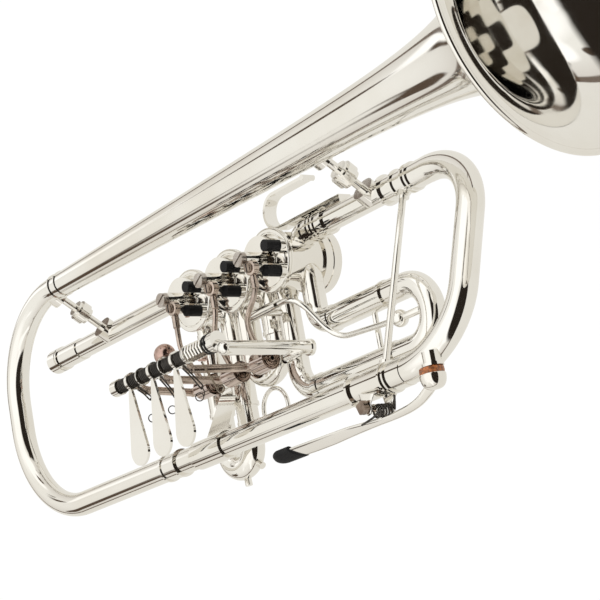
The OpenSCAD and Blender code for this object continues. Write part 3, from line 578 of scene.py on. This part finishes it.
def plate_tone(tree, place, clean, handled):
    """Two tones of plate by broad cloudy noise."""
    return mix_colour(tree, noise(tree, place, 14.0, 4.0).ramp(*CLOUD_EDGES) * 0.75, clean, handled)


def new_material(name):
    """A material with one Principled shader. Returns the material, its tree, the shader node and
    the Object coordinates."""
    material = bpy.data.materials.new(name)
    material.use_nodes = True
    tree = material.node_tree
    tree.nodes.clear()
    shader = tree.nodes.new("ShaderNodeBsdfPrincipled")
    output = tree.nodes.new("ShaderNodeOutputMaterial")
    tree.links.new(shader.outputs[0], output.inputs[0])
    place = add_node(tree, "ShaderNodeTexCoord", output="Object")
    return material, tree, shader, place


def feed(tree, shader, **sockets):
    """Links or sets sockets of the shader, whose names are given with _ for a space."""
    for name, value in sockets.items():
        socket = shader.inputs[name.replace("_", " ")]
        if isinstance(value, Shade):
            tree.links.new(value.socket, socket)
        else:
            socket.default_value = value


def bump(tree, shader, height, strength, distance):
    """Feeds the shader's Normal with a bump of that height, its distance in metres."""
    values = {"Strength": strength, "Distance": distance, "Height": height}
    feed(tree, shader, Normal=add_node(tree, "ShaderNodeBump", None, values))


def plated(name, clean, handled):
    """Polished plate: two tones by broad cloudy noise, smears that change the gloss, and hairline
    scratches as a bump."""
    material, tree, shader, place = new_material(name)
    tone = plate_tone(tree, place, clean, handled)
    smears = noise(tree, stretched(tree, place, (90.0, 30.0, 60.0)), 1.0, 5.0, 0.65)
    lines = scratches(tree, place)
    gloss = 0.055 + smears.ramp(0.45, 0.8) * 0.07 + lines * 0.04
    feed(tree, shader, Base_Color=tone, Metallic=1.0, Roughness=gloss)
    bump(tree, shader, lines * -1.0 + noise(tree, place, 260.0, 2.0) * 0.5, 0.05, 0.00002)
    return material


def brushed(name, colour, dark, rough):
    """Worn metal: grain in one direction changes the gloss, and cloudy noise darkens it."""
    material, tree, shader, place = new_material(name)
    streaks = noise(tree, stretched(tree, place, (900.0, 900.0, 90.0)), 1.0, 4.0)
    wear = noise(tree, place, 120.0, 5.0, 0.7)
    tone = mix_colour(tree, wear.ramp(*WEAR_EDGES), dark, colour)
    gloss = rough + streaks * 0.16 + wear.ramp(0.5, 0.8) * 0.06
    feed(tree, shader, Base_Color=tone, Metallic=1.0, Roughness=gloss)
    bump(tree, shader, streaks, 0.12, 0.00003)
    return material


def rubbery(name, colour):
    """Moulded rubber: fine pores as bump, and dust that lightens it a little and dulls it."""
    material, tree, shader, place = new_material(name)
    pores = noise(tree, place, 1800.0, 3.0)
    dust = noise(tree, place, 150.0, 5.0, 0.7)
    pale = tuple(min(1.0, c * 2.4 + 0.004) for c in colour)
    tone = mix_colour(tree, dust.ramp(0.5, 0.8) * 0.5, colour, pale)
    gloss = 0.42 + dust.ramp(0.4, 0.8) * 0.25
    feed(tree, shader, Base_Color=tone, Roughness=gloss, Specular_IOR_Level=0.22)
    bump(tree, shader, pores, 0.25, 0.00008)
    return material


def corky(name, colour):
    """Varnished cork: darker grains from cell noise, a little gloss."""
    material, tree, shader, place = new_material(name)
    cells = {"Vector": place, "Scale": 900.0}
    grains = add_node(tree, "ShaderNodeTexVoronoi", {"feature": "F1"}, cells)
    flecks = noise(tree, place, 700.0, 4.0)
    tone = mix_colour(tree, flecks.ramp(0.42, 0.62), tuple(c * 0.35 for c in colour), colour)
    feed(tree, shader, Base_Color=tone, Roughness=0.28 + grains * 0.3, Coat_Weight=0.35)
    bump(tree, shader, grains, 0.4, 0.0001)
    return material


# How each finish is made: its maker, then the maker's arguments. A word is a colour of the panel,
# and a (word, share) pair is that colour darkened to the share.
RECIPES = {
    "silver_plate": (plated, "silver", "silver_shade"),
    "link_bronze": (brushed, "bronze", ("bronze", 0.62), 0.12),
    "rotor_metal": (brushed, "rotor", ("rotor", 0.8), 0.10),
    "spring_steel": (brushed, "spring", ("spring", 0.5), 0.26),
    "rest_ball_metal": (brushed, "ball", ("ball", 0.75), 0.07),
    "screw_silver": (brushed, (0.60, 0.565, 0.53), (0.42, 0.37, 0.33), 0.20),
    "screw_metal": (brushed, (0.42, 0.34, 0.28), (0.20, 0.15, 0.12), 0.10),
    "leg_metal": (brushed, (0.46, 0.40, 0.32), (0.26, 0.21, 0.16), 0.16),
    "stop_rubber": (rubbery, "rubber"),
    # Black for the clamp's dark joints, and for the painted shade of the screws' slots.
    "slot_black": (rubbery, (0.006, 0.006, 0.006)),
    "key_cork": (corky, "cork"),
}
FINISHES = {}


def panel_colour(context, given):
    """A word or a (word, share) pair as the panel's colour, and anything else as it is."""
    colours = context.scene.trumpet_finish
    if isinstance(given, str):
        return tuple(getattr(colours, given))
    if isinstance(given, tuple) and isinstance(given[0], str):
        return tuple(c * given[1] for c in getattr(colours, given[0]))
    return given


def finish_of(context, name):
    """The material of that name, made once from the panel's colours."""
    if name not in FINISHES:
        maker, *given = RECIPES[name]
        FINISHES[name] = maker(name, *(panel_colour(context, g) for g in given))
    return FINISHES[name]


def lever_finish(context, number):
    """Plate on the barrel and the paddle, link metal on the arm, and on the cup rings of painted
    light and shade like those on a turned cup, round a middle painted black as the shade of its
    hollow, with a paler face. The arm lies below the barrel, and the cup is what lies near its own
    axis."""
    material, tree, shader, place = new_material(f"lever_plate_{number}")
    x, y, z = split(tree, place)
    cup_x = CUPS_X[number - 1]
    below = (AXLE_Z * MM - z).ramp(0.0038, 0.0043)
    lines = scratches(tree, place)
    wear = noise(tree, place, 120.0, 5.0, 0.7)
    silver, handled, bronze, dark = (
        panel_colour(context, g) for g in ("silver", "silver_shade", "bronze", ("bronze", 0.62))
    )
    plate = plate_tone(tree, place, silver, handled)
    arm = mix_colour(tree, wear.ramp(*WEAR_EDGES), dark, bronze)
    out = ((y - CUP_Y * MM) ** 2.0 + (z - CUP_Z * MM) ** 2.0) ** 0.5
    near = (1.0 - out.ramp(0.0072, 0.0078)) * (x - (cup_x - 8.0) * MM).ramp(0.0, 0.002)
    face = (x - (cup_x + 5.4) * MM).ramp(0.0, 0.0003)
    # Painted light and shade: bands that turn from light to dark with the distance from the cup's
    # axis, standing in for the highlight rings on the turned cup.
    rings = add_node(tree, "ShaderNodeMath", {"operation": "SINE"}, {0: out * 3900.0})
    cup = mix_colour(tree, rings.ramp(0.35, 0.8), (0.34, 0.26, 0.22), (0.09, 0.065, 0.05))
    # Painted shade: the middle of the cup is painted black as the shade of its hollow.
    cup = mix_colour(tree, out.ramp(0.0010, 0.0016), (0.006, 0.005, 0.005), cup)
    cup = mix_colour(tree, face, (0.60, 0.51, 0.47), cup)
    tone = mix_colour(tree, below, plate, mix_colour(tree, near, arm, cup))
    gloss = 0.06 + lines * 0.04 + below * (1.0 - near * 0.9) * 0.12 + wear.ramp(0.5, 0.8) * 0.04
    feed(tree, shader, Base_Color=tone, Metallic=1.0, Roughness=gloss)
    bump(tree, shader, lines * -1.0, 0.05, 0.00002)
    return material


def set_finish(obj, material):
    """Gives an object that material alone."""
    obj.data.materials.clear()
    obj.data.materials.append(material)


NODE_FINISH = {
    "silver_plate": [
        "bell", "bell_bow", "lower_tube", "main_ferrules", "leadpipe", "mouthpiece_receiver",
        "upper_leg", "rear_brace", "front_brace", "lower_brace", "finger_hook",
        "valve_1_casing", "valve_2_casing", "valve_3_casing", "valve_links", "bearing_plates",
        "rear_caps", "bumper_cups", "stop_arm_1", "stop_arm_2", "stop_arm_3", "lever_axle",
        "axle_bracket", "axle_end_spring", "first_slide_sleeves", "first_slide_crook",
        "second_slide_sleeves", "second_slide_crook", "second_slide_ring",
        "third_slide_tubes", "third_slide_crook", "trigger_rod", "trigger_guide",
        "tuning_bow", "tuning_sleeves", "tuning_brace",
        "water_key_seat", "water_key_post", "water_key_lever",
    ],
    "screw_silver": ["stop_screw_1", "stop_screw_2", "stop_screw_3"],
    "link_bronze": ["link_rod_1", "link_rod_2", "link_rod_3"],
    "rotor_metal": ["rotor_1", "rotor_2", "rotor_3"],
    "spring_steel": [
        "lever_spring_1", "lever_spring_2", "lever_spring_3",
        "water_key_spring", "water_key_screw",
    ],
    "stop_rubber": ["stop_bumpers", "water_key_tip"],
    "key_cork": ["water_key_cork"],
    "rest_ball_metal": ["rest_ball"],
}


# Operators


class TRUMPET_OT_finishes(bpy.types.Operator):
    """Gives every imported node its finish."""

    bl_idname = "trumpet.finishes"
    bl_label = "Finishes of the packed parts"

    def execute(self, context):
        for name, nodes in NODE_FINISH.items():
            for node in nodes:
                set_finish(NODES[node], finish_of(context, name))
        for i in (1, 2, 3):
            set_finish(NODES[f"lever_{i}"], lever_finish(context, i))
        return {"FINISHED"}


class TRUMPET_OT_bell(bpy.types.Operator):
    """Makes the bell as one finely turned sheet with a rolled rim."""

    bl_idname = "trumpet.bell"
    bl_label = "Bell"

    def execute(self, context):
        s = context.scene.trumpet_bell
        sheet = bell_surface(s.rim_radius, s.bead_radius, s.tail_radius, s.wall, s.rounds)
        plate = finish_of(context, "silver_plate")
        bell = add_piece("bell_sheet", [sheet], "horn", plate)
        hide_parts("bell")
        return {"FINISHED"}


class TRUMPET_OT_rods(bpy.types.Operator):
    """Makes the link rods and the third slide's push rod with smooth bends."""

    bl_idname = "trumpet.rods"
    bl_label = "Rods"

    def execute(self, context):
        bronze, plate = finish_of(context, "link_bronze"), finish_of(context, "silver_plate")
        for i, (valve, cup, knee) in enumerate(zip(VALVES_X, CUPS_X, KNEES)):
            x, y, z = valve + STUD, VALVE_Y - STUD, ROD_Z
            end = (cup - 1.35, CUP_Y, CUP_Z - 0.8)
            bends = [(x, ROD_BENDS_Y[0], z), (x - knee, ROD_BENDS_Y[1], z)]
            path = rounded([(x, y - 3.4, z), *bends, end], ROD_BEND)
            shapes = [
                round_tube(path, ROD_RADIUS, 20),
                turned(ROD_EYE, (x, y, z), Z_AXIS, X_AXIS, 48, closed=True),
                turned(ROD_COLLAR, (x, y - 4.3, z), DOWN, X_AXIS, 24),
                ball(end, ROD_BALL),
            ]
            piece = add_piece(f"smooth_rod_{i + 1}", shapes, f"rod_{i + 1}", bronze)
            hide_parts(f"link_rod_{i + 1}")
        path = [(222.0, *GUIDE), (258.0, *GUIDE), (266.0, PUSH_Y + 3.5, PUSH_Z)]
        path += [(x, PUSH_Y, PUSH_Z) for x in (313.0, 330.5)]
        shapes = [
            round_tube(rounded(path, PUSH_BEND), PUSH_RADIUS, 20),
            turned(PUSH_STEM, (316.5, PUSH_Y, PUSH_Z), X_AXIS, Y_AXIS, 24),
            ball((315.0, PUSH_Y, PUSH_Z), PUSH_BALL, 48),
        ]
        piece = add_piece("push_rod", shapes, "third_slide", plate)
        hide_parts("trigger_rod")
        return {"FINISHED"}


class TRUMPET_OT_caps(bpy.types.Operator):
    """Makes the valves' bearing plates with a grooved rim and a low dome. At radius r the dome
    stands foot + rise (1 - ((r - inner) / span) ^ 2) high."""

    bl_idname = "trumpet.caps"
    bl_label = "Bearing plates"

    def execute(self, context):
        dome = [
            (DOME_FOOT + DOME_RISE * (1 - ((r - DOME_INNER) / DOME_SPAN) ** 2), r)
            for r in np.linspace(DOME_OUTER, DOME_INNER, 12)
        ]
        profile = [*PLATE_RIM, *dome, *PLATE_BOSS]
        shapes = [
            turned(profile, (x, VALVE_Y, 0), Z_AXIS, X_AXIS, 96, closed=True) for x in VALVES_X
        ]
        plate = finish_of(context, "silver_plate")
        piece = add_piece("domed_plates", shapes, "horn", plate)
        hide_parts("bearing_plates")
        return {"FINISHED"}


class TRUMPET_OT_wires(bpy.types.Operator):
    """Adds the spring wires' legs and curls beside the levers and the pale spring's leg with its
    eye."""

    bl_idname = "trumpet.wires"
    bl_label = "Spring wires"

    def execute(self, context):
        s = context.scene.trumpet_wires
        steel, pale = finish_of(context, "spring_steel"), finish_of(context, "leg_metal")
        right, up = (np.array(v) for v in CAMERA_AXES[:2])
        aside = np.array(HAIRPIN_ASIDE)
        for i, (hub, end, curl) in enumerate(zip(HUBS_X, HAIRPIN_ENDS, CURLS)):
            start = np.array([hub, AXLE_Y, AXLE_Z]) + HAIRPIN_START
            end = np.array(end)
            middle = (start + end) / 2
            tip = end - aside * 0.2 + (end - middle) * 0.06
            near_leg = [start, middle + aside * 0.4, end + aside]
            far_leg = [end - aside, middle - aside, start - aside * 1.8]
            path = smooth_path([*near_leg, tip, *far_leg], 8)
            hairpin = round_tube(path, s.leg_radius, WIRE_SIDES)
            add_piece(f"lever_wire_{i + 1}", [hairpin], "horn", steel)
            loops = coil(curl, np.cross(up, right), right, s.curl_radius, CURL_PITCH, CURL_TURNS)
            lead = [end + aside * 0.3, (end + loops[0]) / 2 + right * 0.9, loops[0]]
            tail = smooth_path([*lead, loops[3], loops[6]], 6)[: 2 * 6 + 1]
            path = np.vstack([tail, loops[1:]])
            curled = round_tube(path, s.leg_radius * CURL_THINNING, WIRE_SIDES)
            add_piece(f"lever_curl_{i + 1}", [curled], "horn", steel)
        ring = coil(EYE, np.cross(right, up), -right, EYE_RADIUS, EYE_PITCH, EYE_TURNS)
        leg = np.linspace(np.array(EYE_START), ring[0], 12)
        eyed = round_tube(np.vstack([leg[:-1], ring]), s.end_leg_radius, WIRE_SIDES)
        add_piece("end_spring_wire", [eyed], "horn", pale)
        return {"FINISHED"}


class TRUMPET_OT_screws(bpy.types.Operator):
    """Adds the slotted screws on the link studs, each with a thin black bar on its head as the
    painted shade of its slot, and the dark joints of the axle's clamp.
    """

    bl_idname = "trumpet.screws"
    bl_label = "Small screws"

    def execute(self, context):
        dark, black = finish_of(context, "screw_metal"), finish_of(context, "slot_black")
        for i, valve in enumerate(VALVES_X):
            x, y, z = valve + STUD, VALVE_Y - STUD, STUD_TOP
            head = turned(SCREW_HEAD, (x, y, z), Z_AXIS, X_AXIS, 32)
            # Painted shade: the slot is no groove but a thin black bar on the head, as dark as the
            # shade in a slot.
            slot = flat_bar([(x, y + end, z + 1.02) for end in (-2.2, 2.2)], 0.38, 0.12, X_AXIS, 8)
            body = f"rotor_{i + 1}"
            add_piece(f"stud_screw_{i + 1}", [head], body, dark)
            add_piece(f"stud_slot_{i + 1}", [slot], body, black)
        axle = (0, AXLE_Y, AXLE_Z)
        rings = [
            turned(sleeve(*ends, *CLAMP_RADII), axle, X_AXIS, Y_AXIS, 40, closed=True)
            for ends in CLAMP_JOINTS
        ]
        add_piece("clamp_joints", rings, "horn", black)
        return {"FINISHED"}


class TRUMPET_OT_water_key(bpy.types.Operator):
    """Makes the water key's curved blade with its cup, cork, black boot, screw, cheeks and
    spring."""

    bl_idname = "trumpet.water_key"
    bl_label = "Water key"

    def execute(self, context):
        plate, steel = finish_of(context, "silver_plate"), finish_of(context, "spring_steel")
        lever = add_piece("key_blade", key_lever(), "water_key", plate)
        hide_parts("water_key_lever")

        cork = turned(CORK, KEY_CUP, DOWN, X_AXIS, 48)
        amber = finish_of(context, "key_cork")
        cork = add_piece("key_cork", [cork], "water_key", amber)
        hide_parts("water_key_cork")

        rubber = finish_of(context, "stop_rubber")
        boot = add_piece("key_boot", [boot_surface()], "water_key", rubber)
        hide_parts("water_key_tip")

        x, y, z = KEY_HINGE
        pin = turned(sleeve(-9.0, 8.6, 0.8, 1.3), KEY_HINGE, Z_AXIS, X_AXIS, 24)
        ends = [(x, y + 1.0, z + high) for high in (8.3, 11.2)]
        block = flat_bar(ends, 2.7, 2.7, (0.9, 0.35, 0), 32, 0.3)
        dark = finish_of(context, "screw_metal")
        screw = add_piece("key_screw", [pin, block], "tuning_slide", dark)
        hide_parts("water_key_screw")

        steps = ((0.6, -2.6), (0.2, -1.2), (0.0, 2.5), (1.0, 7.2))
        cheeks = [
            flat_bar(
                [(x + a, y + b, z + side) for a, b in steps],
                (1.2, 2.5, 3.0, 5.5), 0.6, X_AXIS, 24, 0.7,
            )
            for side in (-7.0, 7.0)
        ]
        cheek = add_piece("key_cheeks", cheeks, "tuning_slide", plate)
        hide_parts("water_key_post")

        wires = [round_tube(path, KEY_WIRE, WIRE_SIDES) for path in key_wires()]
        spring = add_piece("key_spring", wires, "tuning_slide", steel)
        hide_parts("water_key_spring")
        return {"FINISHED"}


def key_lever():
    """The water key's lever: the curved blade, the cup under its end, and the neck and stem that
    hold it on the hinge. The cup's bowl is 6.6 deep and falls from 6.2 wide as a power 0.55 of
    the cosine."""
    path = smooth_path([(x, y, KEY_BLADE_Z) for x, y, _, _ in KEY_BLADE], 10)
    x, _, wide, thick = zip(*KEY_BLADE)
    wide, thick = (np.interp(path[:, 0], x, sizes) for sizes in (wide, thick))
    quarter = np.linspace(0, 1, 14)[:-1] * math.pi / 2
    bowl = [(107.2 + 6.6 * math.sin(a), 6.2 * math.cos(a) ** 0.55) for a in quarter]
    return [
        flat_bar(path, wide, thick, KEY_ACROSS),
        turned([*CUP_WALL, *bowl, CUP_FOOT], KEY_CUP, DOWN, X_AXIS, 56),
        turned(sleeve(-4.0, 4.0, 1.5, 2.5), KEY_HINGE, Z_AXIS, X_AXIS, 32),
        flat_bar(smooth_path(KEY_STEM, 6), 2.6, 1.1, Z_AXIS),
    ]


def key_wires():
    """Paths of the water key's spring: its five turns, the leg along the blade, the leg that
    curls round the post, and the short end."""
    hinge = np.array(KEY_HINGE)
    turns = coil(hinge + (3.2, -1.6, -4.0), Z_AXIS, X_AXIS, 3.0, 1.75, 5.0)
    blade_leg = [(1.5, -3.8, 5.2), (-3.5, -4.6, 4.8), (-9.2, -5.2, 4.2)]
    post_leg = [
        (-2.0, 2.6, 4.4), (-6.5, 4.4, 4.0), (-8.0, 7.4, 3.6), (-5.5, 9.8, 3.8), (-2.8, 8.8, 4.0),
    ]
    short_end = [(8.2, 1.5, -3.0), (9.5, 4.5, -2.0), (7.0, 6.0, -1.0), (6.0, 4.2, 0.0)]
    starts = (turns[-1], turns[-1] + (-5.2, 1.5, 0.3), turns[0])
    legs = (
        smooth_path([start, *(hinge + np.array(leg))], 8)
        for start, leg in zip(starts, (blade_leg, post_leg, short_end))
    )
    return [turns, *legs]


class TRUMPET_OT_stage(bpy.types.Operator):
    """Sets the camera, the pale floor, the lamps and the room's light."""

    bl_idname = "trumpet.stage"
    bl_label = "Stage"

    def execute(self, context):
        s, scene = context.scene.trumpet_studio, context.scene
        camera = bpy.data.objects.new("camera", bpy.data.cameras.new("camera"))
        scene.collection.objects.link(camera)
        camera.data.lens, camera.data.sensor_width = s.lens, SENSOR_WIDTH
        camera.data.clip_start, camera.data.clip_end = CLIP_START, CLIP_END
        right, up, forward = (np.array(v) for v in CAMERA_AXES)
        rows = np.column_stack([right, up, -forward, CAMERA_PLACE])
        camera.matrix_world = Matrix(np.vstack([rows, [0, 0, 0, 1]]).tolist())
        scene.camera = camera
        scene.view_settings.view_transform = "Standard"

        corners = np.array([[-1, -1], [1, -1], [1, 1], [-1, 1]]) * FLOOR_HALF
        height = (CAD_BOX[0][2] - s.floor_drop) / MM
        sheet = np.column_stack([corners, np.full(4, height)])
        mesh = make_mesh("floor", sheet, np.array([[0, 1, 2, 3]]), smooth_angle=0)
        floor = bpy.data.objects.new("floor", mesh)
        scene.collection.objects.link(floor)
        floor.data.materials.append(pale_floor())

        for name, (place, width, share) in LAMPS.items():
            lamp = bpy.data.lights.new(name, "AREA")
            lamp.shape, lamp.size, lamp.energy = "DISK", width, s.key_power * share
            obj = bpy.data.objects.new(name, lamp)
            scene.collection.objects.link(obj)
            obj.location = place
            obj.visible_glossy = False
            obj.rotation_euler = Matrix(aim_matrix(np.array(LAMP_AIM) - place)).to_euler()
        scene.world = room_light(tuple(s.room))
        return {"FINISHED"}


def aim_matrix(aim):
    """Rows of the turn that points a lamp's -Z along aim."""
    z = -aim / np.linalg.norm(aim)
    x = np.cross(Z_AXIS, z)
    x /= np.linalg.norm(x)
    return np.column_stack([x, np.cross(z, x), z]).tolist()


def pale_floor():
    """White paper: the camera sees it almost white with a soft shadow, and mirrors see it
    cream."""
    material, tree, shader, place = new_material("pale_paper")
    fibres = noise(tree, place, 40.0, 4.0)
    paper = mix_colour(tree, fibres, (0.93, 0.93, 0.925), (0.9, 0.9, 0.895))
    feed(tree, shader, Base_Color=paper, Roughness=0.9)
    camera = add_node(tree, "ShaderNodeLightPath", output="Is Camera Ray")
    glossy = add_node(tree, "ShaderNodeLightPath", output="Is Glossy Ray")
    seen = mix_colour(tree, glossy, WHITE, (0.84, 0.82, 0.765))
    glow = add_node(tree, "ShaderNodeEmission", None, {"Color": seen, "Strength": 1.0})
    values = {0: camera * 0.85 + glossy, 1: Shade(tree, shader.outputs[0]), 2: glow}
    both = add_node(tree, "ShaderNodeMixShader", None, values)
    tree.links.new(both.socket, tree.nodes["Material Output"].inputs[0])
    return material


def room_light(room):
    """The room by direction: plain for light that falls on the object, white where the camera
    looks past it, and for reflections pale walls with soft boxes, a dark skirting, a few dark gaps
    and a dark end toward +X."""
    world = bpy.data.worlds.new("room")
    world.use_nodes = True
    tree = world.node_tree
    tree.nodes.clear()
    out = tree.nodes.new("ShaderNodeOutputWorld")
    way = add_node(tree, "ShaderNodeTexCoord", output="Generated")
    x, _, z = split(tree, way)
    walls = mix_colour(tree, z.ramp(0.10, 0.60), (0.76, 0.73, 0.68), (0.95, 0.935, 0.885))
    walls = mix_colour(tree, z.ramp(0.74, 0.90), walls, (1.18, 1.17, 1.14))
    boxes = noise(tree, stretched(tree, way, (1.0, 1.0, 0.45)), 1.7, 1.0)
    walls = mix_colour(tree, boxes.ramp(0.56, 0.62), walls, (1.2, 1.19, 1.16))
    blotches = noise(tree, stretched(tree, way, (1.0, 1.0, 0.35)), 3.1, 1.0)
    gaps = (1.0 - blotches.ramp(0.365, 0.395)) * (1.0 - z.ramp(0.55, 0.62))
    mirror = mix_colour(tree, gaps, walls, (0.10, 0.07, 0.05))
    skirting = z.ramp(-0.10, -0.06) * (1.0 - z.ramp(0.045, 0.075))
    mirror = mix_colour(tree, skirting * 0.9, mirror, (0.12, 0.08, 0.055))
    far_end = x.ramp(0.52, 0.60) * (1.0 - z.ramp(0.80, 0.86)) * z.ramp(-0.55, -0.45)
    mirror = mix_colour(tree, far_end, mirror, (0.022, 0.017, 0.013))
    camera = add_node(tree, "ShaderNodeLightPath", output="Is Camera Ray")
    glossy = add_node(tree, "ShaderNodeLightPath", output="Is Glossy Ray")
    seen = mix_colour(tree, glossy, mix_colour(tree, camera, room, WHITE), mirror)
    back = add_node(tree, "ShaderNodeBackground", None, {0: seen, 1: 1.0})
    tree.links.new(back.socket, out.inputs[0])
    return world


class TRUMPET_PT_panel(bpy.types.Panel):
    """Lists the trumpet's operators and settings."""

    bl_label = "Rotary valve trumpet"
    bl_idname = "TRUMPET_PT_panel"
    bl_space_type = "VIEW_3D"
    bl_region_type = "UI"
    bl_category = "Trumpet"

    def draw(self, context):
        for operator in OPERATORS:
            self.layout.operator(operator.bl_idname)
        for name, group in GROUPS.items():
            box = self.layout.box()
            for prop in group.__annotations__:
                box.prop(getattr(context.scene, name), prop)


OPERATORS = [
    TRUMPET_OT_finishes,
    TRUMPET_OT_bell,
    TRUMPET_OT_rods,
    TRUMPET_OT_caps,
    TRUMPET_OT_wires,
    TRUMPET_OT_screws,
    TRUMPET_OT_water_key,
    TRUMPET_OT_stage,
]
CLASSES = [*GROUPS.values(), *OPERATORS, TRUMPET_PT_panel]


def register():
    for cls in CLASSES:
        bpy.utils.register_class(cls)
    for name, group in GROUPS.items():
        setattr(bpy.types.Scene, name, PointerProperty(type=group))


def unregister():
    for name in GROUPS:
        delattr(bpy.types.Scene, name)
    for cls in reversed(CLASSES):
        bpy.utils.unregister_class(cls)


def main():
    register()
    for operator in OPERATORS:
        group, name = operator.bl_idname.split(".")
        getattr(getattr(bpy.ops, group), name)()


if __name__ == "__main__":
    main()
